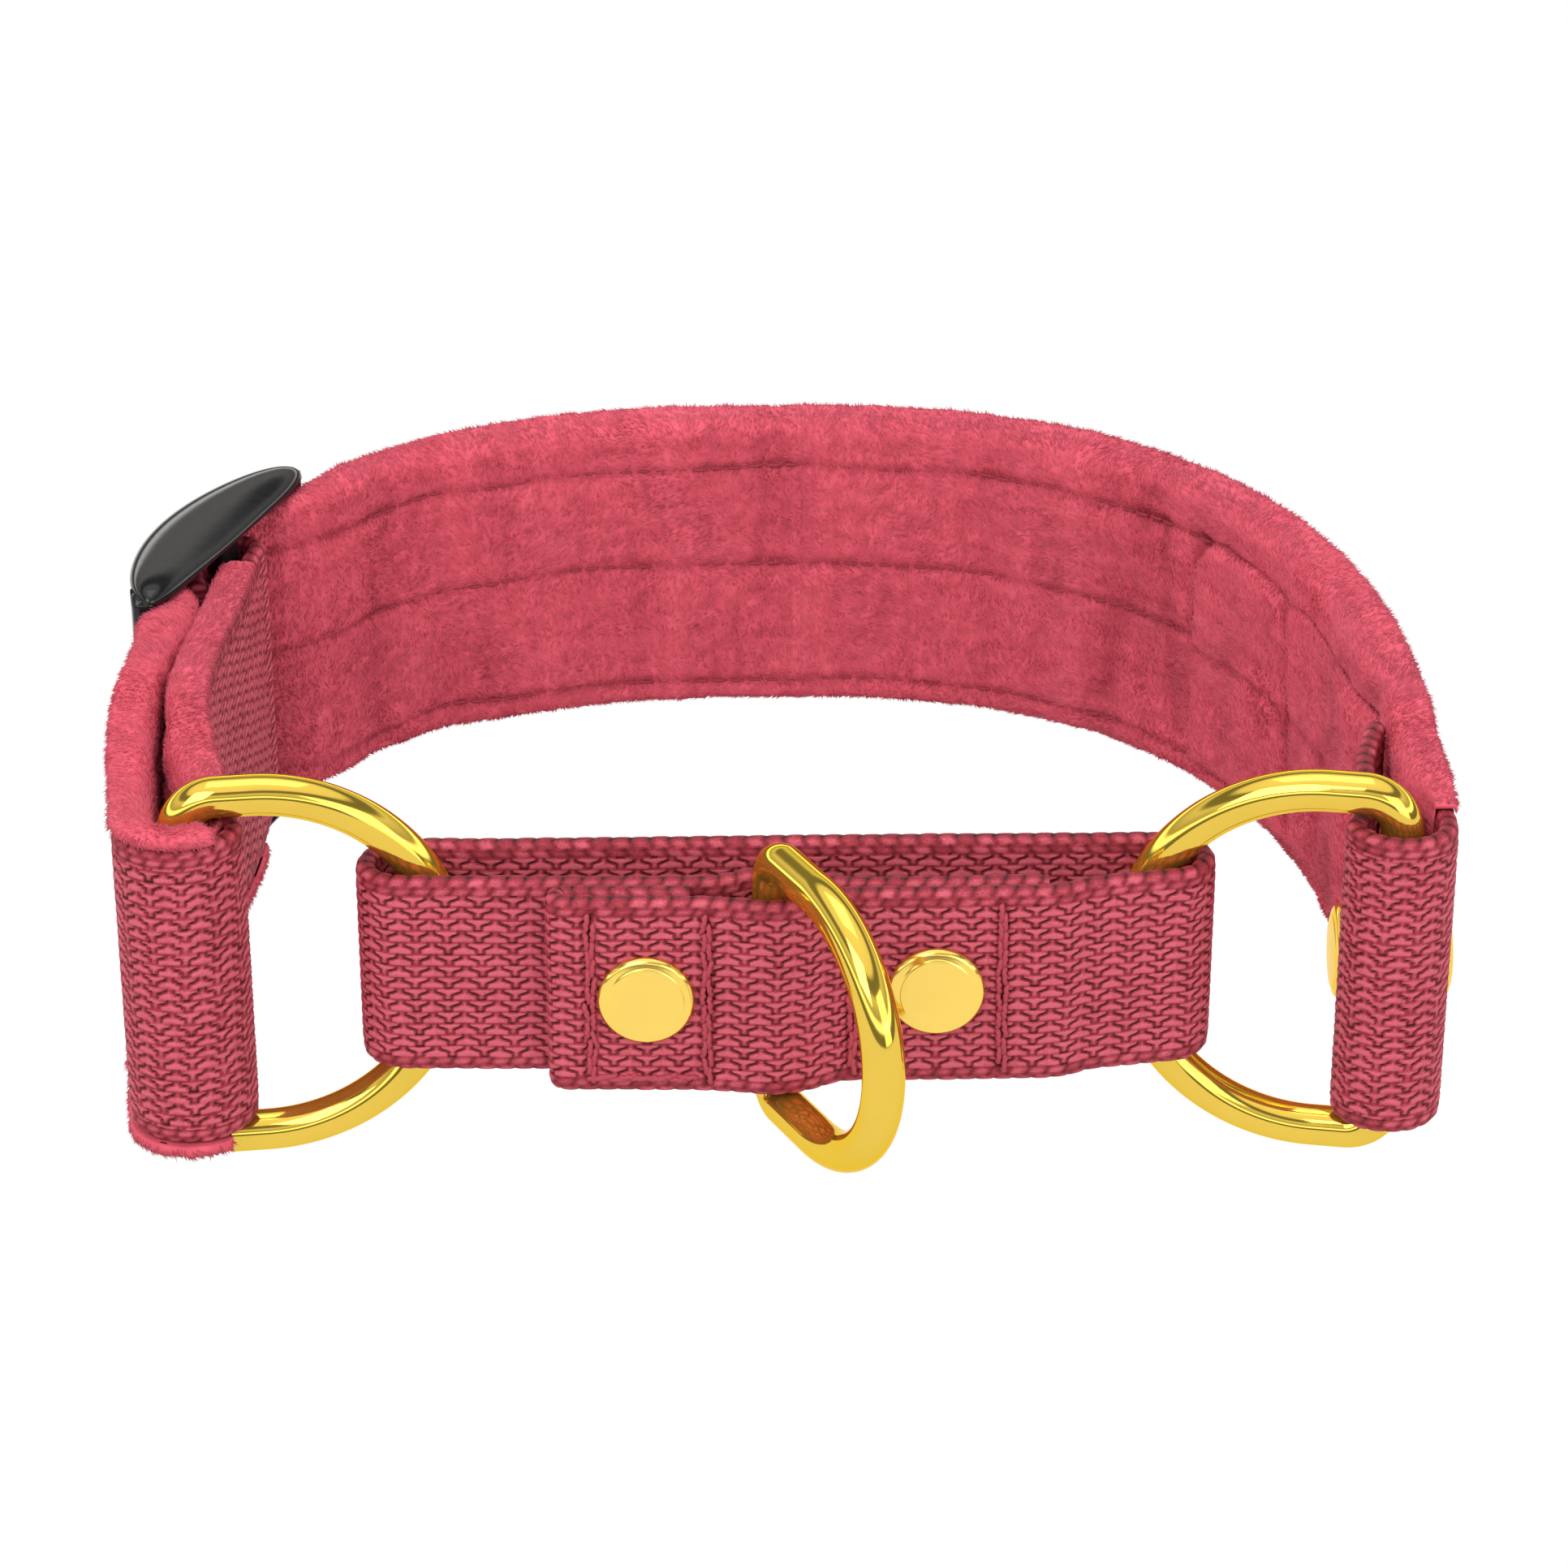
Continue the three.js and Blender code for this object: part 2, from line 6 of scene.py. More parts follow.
import bpy
import numpy as np
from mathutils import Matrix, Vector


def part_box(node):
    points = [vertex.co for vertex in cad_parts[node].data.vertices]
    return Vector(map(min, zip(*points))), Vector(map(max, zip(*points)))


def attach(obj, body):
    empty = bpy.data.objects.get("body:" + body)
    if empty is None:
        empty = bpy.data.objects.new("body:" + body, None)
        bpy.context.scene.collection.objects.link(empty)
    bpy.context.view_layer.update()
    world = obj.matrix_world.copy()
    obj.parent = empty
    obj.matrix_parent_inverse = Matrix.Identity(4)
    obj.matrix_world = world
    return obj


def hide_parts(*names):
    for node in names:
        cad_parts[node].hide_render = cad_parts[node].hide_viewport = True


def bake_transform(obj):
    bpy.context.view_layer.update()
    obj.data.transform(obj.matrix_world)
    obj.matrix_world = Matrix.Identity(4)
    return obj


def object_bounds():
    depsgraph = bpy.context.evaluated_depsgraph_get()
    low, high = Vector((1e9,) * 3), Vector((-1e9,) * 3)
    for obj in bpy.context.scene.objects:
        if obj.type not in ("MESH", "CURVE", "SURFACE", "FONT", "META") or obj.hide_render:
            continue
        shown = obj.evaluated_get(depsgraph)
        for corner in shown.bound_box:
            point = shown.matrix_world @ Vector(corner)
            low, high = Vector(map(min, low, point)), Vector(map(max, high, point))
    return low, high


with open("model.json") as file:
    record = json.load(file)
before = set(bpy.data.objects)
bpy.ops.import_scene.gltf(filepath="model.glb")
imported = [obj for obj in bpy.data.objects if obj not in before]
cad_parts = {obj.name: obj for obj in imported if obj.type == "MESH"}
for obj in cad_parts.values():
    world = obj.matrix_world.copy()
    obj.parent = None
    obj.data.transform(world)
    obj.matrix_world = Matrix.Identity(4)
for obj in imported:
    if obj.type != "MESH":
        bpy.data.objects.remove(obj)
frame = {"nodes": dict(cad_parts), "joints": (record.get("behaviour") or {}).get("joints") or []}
cad_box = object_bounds()

# ---- Driving dimensions ----

MM = 0.001
COARSE = 1.0  # how much coarser the meshes are while trying things

WEBBING_THICK = 2.2
SEAM_GAP = 0.15
LINING_FACE = WEBBING_THICK + SEAM_GAP  # hidden face of the plush where there is no padding
LINING_THICK = 2.2
PADDING_THICK = 1.7
PADDING_RAMP = 9.0
PADDING_LEAD = 4.0
BAND_STEP = 0.28  # spacing of the mesh on the band's webbing
STRAP_STEP = 0.19
PLUSH_STEP = 0.5
WIRE = 4.8
RIVET_RADIUS = 5.5

# ---- Meshes ----


def make_object(name, points, quads=(), triangles=(), values=None):
    """An object from points in millimetres, its faces, and named per-point values for its material."""
    quads = np.asarray(quads, np.int32).reshape(-1, 4)
    triangles = np.asarray(triangles, np.int32).reshape(-1, 3)
    corners = np.concatenate([quads.ravel(), triangles.ravel()])
    sizes = np.concatenate([np.full(len(quads), 4), np.full(len(triangles), 3)])
    mesh = bpy.data.meshes.new(name)
    mesh.vertices.add(len(points))
    mesh.vertices.foreach_set("co", (np.asarray(points) * MM).astype(np.float32).ravel())
    mesh.loops.add(len(corners))
    mesh.loops.foreach_set("vertex_index", corners.astype(np.int32))
    mesh.polygons.add(len(sizes))
    starts = np.concatenate([[0], np.cumsum(sizes)[:-1]]).astype(np.int32)
    mesh.polygons.foreach_set("loop_start", starts)
    mesh.update(calc_edges=True)
    mesh.polygons.foreach_set("use_smooth", np.full(len(sizes), True))
    for key, value in (values or {}).items():
        value = np.asarray(value, np.float32)
        kind = "FLOAT" if value.ndim == 1 else "FLOAT_VECTOR"
        slot = mesh.attributes.new(key, kind, "POINT")
        slot.data.foreach_set("value" if value.ndim == 1 else "vector", value.ravel())
    made = bpy.data.objects.new(name, mesh)
    bpy.context.scene.collection.objects.link(made)
    return made


def loft_faces(count, around, caps=True):
    """Faces of a closed sleeve of point rings. Point j of a ring faces point (around - j) across it."""
    i = np.arange(count - 1)[:, None]
    j = np.arange(around)[None, :]
    k = (j + 1) % around
    quads = np.stack([i * around + j, (i + 1) * around + j, (i + 1) * around + k, i * around + k], -1)
    quads = quads.reshape(-1, 4)
    if not caps:
        return quads, np.zeros((0, 3), np.int32)
    half = around // 2
    j = np.arange(1, half - 1)
    first = np.stack([j, j + 1, around - j - 1, around - j], -1)
    tips = np.array([[0, 1, around - 1], [half - 1, half, half + 1]])
    last = (count - 1) * around
    quads = np.concatenate([quads, first, first[:, ::-1] + last])
    return quads, np.concatenate([tips, tips[:, ::-1] + last])


def loft(name, rings, values=None):
    """A closed sleeve through rings of points: an array of (stations, points around, 3)."""
    quads, triangles = loft_faces(*rings.shape[:2])
    return make_object(name, rings.reshape(-1, 3), quads, triangles, values)


def smooth_step(low, high, x):
    t = np.clip((x - low) / (high - low), 0, 1)
    return t * t * (3 - 2 * t)


def ripple(seed, x, y, scale_x, scale_y, waves=9):
    """A smooth random field between about -1 and 1, made of a few crossing waves."""
    draw = np.random.default_rng(seed)
    total = np.zeros(np.broadcast(x, y).shape)
    for _ in range(waves):
        turn = draw.uniform(0, math.tau)
        pace = draw.uniform(0.5, 1.6)
        phase = draw.uniform(0, math.tau)
        wave = x / scale_x * math.cos(turn) + y / scale_y * math.sin(turn)
        total += np.sin(math.tau * pace * wave + phase)
    return total / waves**0.5 / 1.3


def cell_value(seed, i, j):
    """A repeatable random number between 0 and 1 for each whole-numbered cell."""
    mixed = np.sin(i * 127.1 + j * 311.7 + seed * 74.7) * 43758.5453
    return mixed - np.floor(mixed)


# ---- Plan paths, read from the CAD straps ----

SAME_POINT = 0.004  # points closer than this are one
CORNER = 50  # an outline turns by more than this many degrees only where the strap is cut


def node_points(node):
    """The CAD node's points in millimetres."""
    mesh = frame["nodes"][node].data
    co = np.zeros(len(mesh.vertices) * 3, np.float32)
    mesh.vertices.foreach_get("co", co)
    return co.reshape(-1, 3).astype(float) / MM


def cap_outline(node):
    """The outline of a strap's top edge, as plan points in order with the strap on the left."""
    mesh = frame["nodes"][node].data
    co = node_points(node)
    mesh.calc_loop_triangles()
    tri = np.zeros(len(mesh.loop_triangles) * 3, np.int32)
    mesh.loop_triangles.foreach_get("vertices", tri)
    tri = tri.reshape(-1, 3)
    top = co[:, 2] > co[:, 2].max() - 0.01
    tri = tri[top[tri].all(1)]
    keys = {}
    cells = np.round(co[:, :2] / SAME_POINT).astype(int).tolist()
    same = [keys.setdefault(tuple(cell), n) for n, cell in enumerate(cells)]
    edges = {(same[a], same[b]) for t in tri.tolist() for a, b in zip(t, t[1:] + t[:1])}
    follows = {a: b for a, b in edges if (b, a) not in edges}
    loops = []
    while follows:
        at = next(iter(follows))
        loop = []
        while at in follows:
            loop.append(at)
            at = follows.pop(at)
        loops.append(loop)
    return co[max(loops, key=len), :2]


def outer_side(node, start):
    """The long side of a strap's outline that has the strap on its left and begins nearest to start."""
    q = cap_outline(node)
    before = q - np.roll(q, 1, 0)
    after = np.roll(q, -1, 0) - q
    cross = before[:, 0] * after[:, 1] - before[:, 1] * after[:, 0]
    turn = np.abs(np.arctan2(cross, (before * after).sum(1)))
    corners = np.where(turn > math.radians(CORNER))[0]
    sides = []
    for a, b in zip(corners, np.roll(corners, -1)):
        run = np.arange(a, b + 1 if b > a else b + 1 + len(q)) % len(q)
        if len(run) > 2:
            sides.append(q[run])
    return min(sides, key=lambda side: np.hypot(*(side[0] - start)))


def middle(node):
    low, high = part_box(node)
    return np.array((low + high) / 2) / MM


class Path:
    """A smooth plan curve through points, measured by its length."""

    def __init__(self, points):
        kept = [points[0]]
        for p in points[1:]:
            if np.hypot(*(p - kept[-1])) > 0.4:
                kept.append(p)
        self.p = np.array(kept)
        self.s = np.concatenate([[0], np.cumsum(np.hypot(*np.diff(self.p, axis=0).T))])
        self.slope = np.gradient(self.p, self.s, axis=0)

    @property
    def length(self):
        return self.s[-1]

    def at(self, s):
        """Points and unit normals to the left at lengths s."""
        s = np.asarray(s, float)
        i = np.clip(np.searchsorted(self.s, s) - 1, 0, len(self.s) - 2)
        h = self.s[i + 1] - self.s[i]
        t = ((s - self.s[i]) / h)[..., None]
        h = h[..., None]
        a, b, da, db = self.p[i], self.p[i + 1], self.slope[i] * h, self.slope[i + 1] * h
        p = a * (2 * t**3 - 3 * t**2 + 1) + da * (t**3 - 2 * t**2 + t)
        p = p + b * (3 * t**2 - 2 * t**3) + db * (t**3 - t**2)
        d = a * (6 * t**2 - 6 * t) + da * (3 * t**2 - 4 * t + 1)
        d = d + b * (6 * t - 6 * t**2) + db * (3 * t**2 - 2 * t)
        d = d / np.linalg.norm(d, axis=-1, keepdims=True)
        return p, np.stack([-d[..., 1], d[..., 0]], -1)

    def near(self, point):
        """The length at the path point nearest to a plan point."""
        s = np.linspace(0, self.length, 4000)
        return s[np.argmin(np.hypot(*(self.at(s)[0] - np.asarray(point)).T))]


right_side = outer_side("webbing_right", middle("rivet_cap_end_inner")[:2])
back_side = outer_side("webbing_back", right_side[-1])
left_side = outer_side("webbing_left", back_side[-1])
band = Path(np.concatenate([right_side, back_side, left_side]))
strap = Path(outer_side("control_strap", middle("rivet_cap_front_left")[:2]))
RIGHT_FLEX = band.near(right_side[-1])
LEFT_FLEX = band.near(left_side[0])
BACK_DEPTH = 8  # the band's back runs about this far behind the middle of its box
BACK_MIDDLE = band.near(middle("webbing_back")[:2] + np.array([0, BACK_DEPTH]))

# ---- Materials ----


def linear(r, g, b):
    """A colour given in screen values from 0 to 255, as the linear values that materials take."""
    c = np.array([r, g, b]) / 255
    return (*np.where(c <= 0.04045, c / 12.92, ((c + 0.055) / 1.055) ** 2.4), 1.0)


class Shader:
    """A tree of shader nodes, which are added and joined by name."""

    def __init__(self, tree):
        self.tree = tree

    def node(self, kind, **values):
        made = self.tree.nodes.new("ShaderNode" + kind)
        for key, value in values.items():
            setattr(made, key, value)
        return made

    def join(self, output, target):
        self.tree.links.new(output, target)

    def feed(self, target, value):
        """Sets an input to a value, or joins another node's output to it."""
        if isinstance(value, bpy.types.NodeSocket):
            self.join(value, target)
        else:
            target.default_value = value

    def glow(self, kind, colour, strength):
        """The output of an emission or a background."""
        made = self.node(kind)
        self.feed(made.inputs["Color"], colour)
        self.feed(made.inputs["Strength"], strength)
        return made.outputs[0]

    def mix(self, share, first, second):
        """The output of a mix of two shaders: the first where share is 0."""
        made = self.node("MixShader")
        for n, part in enumerate((share, first, second)):
            self.join(part, made.inputs[n])
        return made.outputs[0]

    def math(self, operation, a, b):
        made = self.node("Math", operation=operation)
        for n, value in enumerate((a, b)):
            self.feed(made.inputs[n], value)
        return made.outputs[0]

    def ramp(self, value, *stops):
        made = self.node("ValToRGB")
        elements = made.color_ramp.elements
        while len(elements) < len(stops):
            elements.new(0.5)
        for element, (place, colour) in zip(elements, stops):
            element.position = place
            element.color = colour
        self.join(value, made.inputs["Fac"])
        return made.outputs["Color"]

    def sway(self, value, noise, amount):
        """A value moved up and down by a noise."""
        return self.math("ADD", value, self.math("MULTIPLY", self.math("SUBTRACT", noise, 0.5), amount))


class Look(Shader):
    """A material with one surface shader."""

    def __init__(self, name):
        self.material = bpy.data.materials.new(name)
        self.material.use_nodes = True
        super().__init__(self.material.node_tree)
        self.surface = self.tree.nodes["Principled BSDF"]

    def set(self, **values):
        for key, value in values.items():
            self.surface.inputs[key.replace("_", " ")].default_value = value
        return self

    def value(self, name):
        """A value stored on the mesh's points."""
        return self.node("Attribute", attribute_name=name)

    def noise(self, vector, scale, detail=3.0, stretch=(1, 1, 1)):
        mapping = self.node("Mapping")
        mapping.inputs["Scale"].default_value = stretch
        self.join(vector, mapping.inputs["Vector"])
        texture = self.node("TexNoise")
        texture.inputs["Scale"].default_value = scale
        texture.inputs["Detail"].default_value = detail
        self.join(mapping.outputs[0], texture.inputs["Vector"])
        return texture.outputs["Fac"]

    def colour(self, value, *stops):
        """Colours the surface by a value."""
        self.join(self.ramp(value, *stops), self.surface.inputs["Base Color"])

    def bump(self, height, strength, distance):
        made = self.node("Bump")
        made.inputs["Strength"].default_value = strength
        made.inputs["Distance"].default_value = distance * MM
        self.join(height, made.inputs["Height"])
        self.join(made.outputs[0], self.surface.inputs["Normal"])


def webbing_look(name, painted_shade_colour, body, painted_highlight_colour):
    """Woven nylon with fine filaments, with painted shade in the creases between yarns and a painted
    highlight on their crowns.
    """
    look = Look(name).set(Roughness=0.62, Specular_IOR_Level=0.25)
    place = look.value("weave").outputs["Vector"]
    yarn_height_and_shade = look.value("yarn_height_and_shade").outputs["Fac"]
    filaments = look.noise(place, 1.0, 2.0, (3.0, 16.0, 1.0))
    fleck = look.noise(place, 1.0, 3.0, (0.9, 2.2, 1.0))
    shade = look.sway(look.sway(yarn_height_and_shade, filaments, 0.55), fleck, 0.3)
    # The first stop is painted shade in the creases, the last a painted highlight on the yarn crowns, the
    # middle the yarn's own pink.
    look.colour(shade, (0.18, painted_shade_colour), (0.7, body), (1.0, painted_highlight_colour))
    look.bump(filaments, 0.5, 0.25)
    return look.material


def plush_look(name, painted_shade_colour, body, tip):
    """Brushed pile, mottled from clump to clump, with painted shade at the roots and painted light at the
    tips.
    """
    look = Look(name).set(Roughness=0.9, Specular_IOR_Level=0.15)
    look.set(Sheen_Weight=0.25, Sheen_Roughness=0.45, Sheen_Tint=tip)
    tone = look.value("tone").outputs["Fac"]
    place = look.value("weave").outputs["Vector"]
    mottle = look.noise(place, 1.0, 3.0, (0.3, 0.3, 1.0))
    # The first stop is painted shade at the fibre roots, the last painted light at the fibre tips.
    look.colour(look.sway(tone, mottle, 0.35), (0.0, painted_shade_colour), (0.5, body), (1.0, tip))
    return look.material


def metal_look(name, colour, roughness):
    look = Look(name).set(Metallic=0.9, Roughness=roughness, Specular_Tint=linear(255, 232, 150))
    place = look.node("TexCoord").outputs["Object"]
    tarnish = look.noise(place, 90.0, 3.0)
    look.colour(tarnish, (0.3, colour), (0.8, tuple(0.93 * c for c in colour[:3]) + (1.0,)))
    look.bump(look.noise(place, 350.0, 2.0), 0.03, 0.2)
    return look.material


def plastic_look(name, colour):
    look = Look(name).set(Roughness=0.12, Specular_IOR_Level=0.35)
    place = look.node("TexCoord").outputs["Object"]
    grain = look.noise(place, 900.0, 2.0)
    look.colour(grain, (0.3, colour), (0.9, linear(30, 30, 31)))
    look.bump(grain, 0.04, 0.1)
    return look.material


def foam_look(name):
    look = Look(name).set(Roughness=0.95)
    place = look.node("TexCoord").outputs["Object"]
    cells = look.noise(place, 1500.0, 2.0)
    look.colour(cells, (0.3, linear(205, 198, 185)), (0.8, linear(236, 232, 222)))
    look.bump(cells, 0.4, 0.3)
    return look.material


# Each look's first colour is painted shade (webbing creases, pile roots), its middle colour the material's
# own and its last a painted highlight (yarn crowns, fibre tips).
WEBBING = webbing_look("pink_webbing", linear(40, 3, 10), linear(148, 43, 57), linear(202, 92, 108))
PLUSH = plush_look("pink_plush", linear(146, 42, 56), linear(211, 88, 106), linear(228, 116, 134))
THREAD = webbing_look("pink_thread", linear(92, 24, 36), linear(156, 54, 68), linear(196, 92, 106))
GOLD = metal_look("polished_gold", linear(236, 202, 84), 0.08)
RIVET_GOLD = metal_look("rivet_gold", linear(252, 218, 110), 0.16)
PLASTIC = plastic_look("black_plastic", linear(20, 20, 21))
FOAM = foam_look("foam")


def dress(piece, look):
    """Gives a piece its material."""
    piece.data.materials.clear()
    piece.data.materials.append(look)
    return piece


# ---- Webbing ----

WEAVE_LENGTH = 3.75  # one funnel and one upright yarn
WEAVE_ROW = 1.5
TAPER = 0.44  # share of a row's height over which a yarn narrows
SELVEDGE = 2.0
SEAM_PULL = 0.6  # how wide a stitch line's groove is
SEAM_DEPTH = 0.3  # how deep that groove is, and how much painted shade lies in it
SEAM_EDGE = 1.2  # a stitch line stops this far from the strap's edge
WEAVE_LEVEL = 0.7  # the weave value that lies at the strap's true surface
REAR_SHIFT = 1.9  # how far the weave of a strap's rear face is moved along it


def crease(distance, width):
    return np.exp(-((distance / width) ** 2))


def weave(s, z, half, seed):
    """How high the weave stands at length s and height z, from 0 in a crease to 1 on a yarn.
    Funnel-shaped yarns hang between upright ones in each row, and their tips make the deepest creases."""
    x = s + 0.2 * ripple(seed, s, z, 17, 11)
    y = z + 0.1 * ripple(seed + 1, s, z, 13, 9)
    row = np.floor(y / WEAVE_ROW)
    down = 1 - (y / WEAVE_ROW - row)
    column = np.round(x / WEAVE_LENGTH)
    t = np.abs(x / WEAVE_LENGTH - column) * WEAVE_LENGTH
    q = np.clip((down - 0.2) / TAPER, 0, 1)
    funnel = 0.44 + (1 - q * q * (3 - 2 * q))
    slope = 6 * q * (1 - q) / TAPER / WEAVE_ROW
    beside = t - funnel
    flank = crease(beside / np.sqrt(1 + slope**2), 0.17) * (0.55 + 0.45 * crease(down - 0.42, 0.2))
    rim = np.minimum(down, 1 - down) * WEAVE_ROW
    foot = crease(rim, 0.12) * np.where((beside < 0) & (down > 0.5), 0.95, 0.3)
    yarn_height_and_shade = 1 - np.maximum(flank, foot)
    swell = np.where(beside < 0, crease(down - 0.3, 0.5), crease(down - 0.7, 0.5))
    tilt = cell_value(seed, column + np.where(beside < 0, 0, 0.5), row) - 0.5
    yarn_height_and_shade = np.clip(yarn_height_and_shade * (0.72 + 0.28 * swell) + 0.12 * tilt, 0, 1)
    edge = half - np.abs(z)
    e_row = np.floor(edge)
    slant = x / 2.2 + np.sign(z) * edge * 0.25
    e_x = (slant + 0.5 * (e_row % 2)) % 1.0 - 0.5
    e_y = edge - e_row - 0.5
    rope = np.clip(1 - (np.abs(e_x) / 0.5) ** 3 * 0.5 - (np.abs(e_y) / 0.5) ** 3 * 0.4, 0.2, 1)
    rope *= 0.74 + 0.24 * cell_value(seed + 3, np.floor(slant + 0.5 * (e_row % 2)), e_row)
    # The same value colours the webbing: painted shade in the creases and between the selvedge's beads, a
    # painted highlight on the yarn crowns.
    return np.where(edge < SELVEDGE, rope, yarn_height_and_shade)


def strap_rings(path, stations, half, step, seed, relief, seams):
    """Rings of points round a woven strap, and the weave value of each point, which also paints shade and
    highlight on it. Seams pull the cloth in and get painted shade.
    """
    r = WEBBING_THICK / 2
    bend = np.radians(np.linspace(-90, -180, 5))
    face_z = np.linspace(-(half - r), half - r, max(8, int(2 * (half - r) / step)))
    low = np.stack([r + r * np.cos(bend), -(half - r) + r * np.sin(bend)], -1)
    face = np.stack([np.zeros(len(face_z)), face_z], -1)[1:-1]
    near = np.concatenate([low, face, low[::-1] * [1, -1]])
    far = (near * [-1, 1] + [WEBBING_THICK, 0])[1:-1][::-1]
    section = np.concatenate([near, far])
    core = np.stack([np.full(len(section), r), np.clip(section[:, 1], -(half - r), half - r)], -1)
    out = (section - core) / r
    p, n = path.at(stations)
    s = np.broadcast_to(stations[:, None], (len(stations), len(section)))
    z = np.broadcast_to(section[:, 1][None], s.shape)
    back = np.broadcast_to(section[:, 0][None] > r, s.shape)
    yarn_height_and_shade = np.where(back, weave(s + REAR_SHIFT, z, half, seed + 5), weave(s, z, half, seed))
    pulled = np.zeros(s.shape)
    for seam in seams:
        pulled += np.exp(-(((s - seam) / SEAM_PULL) ** 2)) * (np.abs(z) < half - SEAM_EDGE)
    height = relief * (yarn_height_and_shade - WEAVE_LEVEL) - SEAM_DEPTH * pulled
    # Painted shade in the seam grooves, on the colour only.
    yarn_height_and_shade = yarn_height_and_shade * (1 - SEAM_DEPTH * pulled)
    offset = section[:, 0][None] + out[:, 0][None] * height
    up = section[:, 1][None] + out[:, 1][None] * height
    plan = p[:, None, :] + n[:, None, :] * offset[..., None]
    rings = np.concatenate([plan, up[..., None]], -1)
    return rings, {"yarn_height_and_shade": yarn_height_and_shade.ravel(), "weave": np.stack([s, z, s * 0], -1).reshape(-1, 3)}


def woven_strap(name, path, s0, s1, half, step, seed, relief=0.34, seams=()):
    step *= COARSE
    stations = np.linspace(s0, s1, int((s1 - s0) / step))
    rings, values = strap_rings(path, stations, half, step, seed, relief, seams)
    return dress(loft(name, rings, values), WEBBING)


def half_height(node):
    low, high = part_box(node)
    return (high.z - low.z) / 2 / MM


HALF_WEB = half_height("webbing_back")
HALF_STRAP = half_height("control_strap")

webbing_right = woven_strap("webbing_right_half", band, 0, BACK_MIDDLE, HALF_WEB, BAND_STEP, 11)
webbing_left = woven_strap("webbing_left_half", band, BACK_MIDDLE, band.length, HALF_WEB, BAND_STEP, 11)
STRAP_STITCHES = ("stitch_fold", "stitch_left_of_ring", "stitch_right_of_ring", "stitch_end")
strap_seams = [strap.near(middle(node)[:2]) for node in STRAP_STITCHES]
control = woven_strap(
    "control_strap_weave", strap, 0, strap.length, HALF_STRAP, STRAP_STEP, 23, 0.3, strap_seams
)
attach(control, "control_loop")
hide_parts("control_strap")
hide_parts("webbing_right")
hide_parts("webbing_left", "webbing_back")

# ---- Rings ----


def arc_points(x, y, r, a, b, steps=10):
    angle = np.radians(np.linspace(a, b, steps))
    return np.stack([x + r * np.cos(angle), y + r * np.sin(angle)], -1)


def line_points(a, b, steps=24):
    """Points between a and b, without the two ends."""
    t = np.linspace(0, 1, steps)[1:-1, None]
    return np.array(a) * (1 - t) + np.array(b) * t


def ring_curve(arc_radius, bar_to_arc, bend, steps=120):
    """The wire's centre line in the ring's own plane: x away from the bar, y up, starting mid bar."""
    corner = arc_radius - bend
    return np.concatenate([
        line_points([0, 0], [0, -corner]),
        arc_points(bend, -corner, bend, 180, 270, steps),
        line_points([bend, -arc_radius], [bar_to_arc, -arc_radius]),
        arc_points(bar_to_arc, 0, arc_radius, -90, 90, steps),
        line_points([bar_to_arc, arc_radius], [bend, arc_radius]),
        arc_points(bend, corner, bend, 90, 180, steps),
        line_points([0, corner], [0, 0]),
    ])


def wire_ring(name, node, body, arc_radius, bar_to_arc, bend, sides=40):
    """A D-shaped ring of round wire, standing where the CAD ring stands."""
    q = node_points(node)
    low, high = q.min(0), q.max(0)
    plan = q[:, :2] - q[:, :2].mean(0)
    direction = np.linalg.svd(plan, full_matrices=False)[2][0]
    run = plan @ direction
    lift = (low[2] + high[2]) / 2
    width_low = np.ptp(q[np.abs(run - run.min()) < WIRE, 2])
    width_high = np.ptp(q[np.abs(run - run.max()) < WIRE, 2])
    if width_high > width_low:
        direction, run = -direction, -run
    start = q[:, :2].mean(0) + direction * (run.min() + WIRE / 2)
    path = ring_curve(arc_radius, bar_to_arc, bend)
    path = path[np.hypot(*(path - np.roll(path, 1, 0)).T) > 1e-4]
    along = np.roll(path, -1, 0) - np.roll(path, 1, 0)
    along /= np.linalg.norm(along, axis=1, keepdims=True)
    out = np.stack([along[:, 1], -along[:, 0]], -1)
    angle = np.linspace(0, math.tau, sides, endpoint=False)
    flat = path[:, None, :] + out[:, None, :] * np.cos(angle)[None, :, None] * WIRE / 2
    side = np.sin(angle) * WIRE / 2
    across = np.array([-direction[1], direction[0]])
    plan = start + flat[..., :1] * direction + side[None, :, None] * across
    rings = np.concatenate([plan, flat[..., 1:] + lift], -1)
    rings = np.concatenate([rings, rings[:1]])
    quads, _ = loft_faces(len(rings), sides, caps=False)
    quads = quads % (len(path) * sides)
    ring = dress(make_object(name, rings[:-1].reshape(-1, 3), quads), GOLD)
    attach(ring, body)
    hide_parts(node)


BIG_RING = {"arc_radius": 21.9, "bar_to_arc": 8.3, "bend": 4.5}
LEASH_RING = {"arc_radius": 15.6, "bar_to_arc": 10.2, "bend": 2.8}
wire_ring("left_ring_wire", "left_d_ring", "left_ring", **BIG_RING)
wire_ring("right_ring_wire", "right_d_ring", "right_ring", **BIG_RING)
wire_ring("leash_ring_wire", "leash_ring", "leash_ring", **LEASH_RING)

# ---- Rivets ----


def lathe(profile, sides=96):
    """Points and faces of a turned solid: profile rows are (radius, height along the axis)."""
    angle = np.linspace(0, math.tau, sides, endpoint=False)
    profile = np.asarray(profile, float)
    rings = np.stack([
        profile[:, :1] * np.cos(angle), profile[:, :1] * np.sin(angle), profile[:, 1:] + 0 * angle
    ], -1)
    quads, _ = loft_faces(len(profile), sides, caps=False)
    return rings.reshape(-1, 3), quads


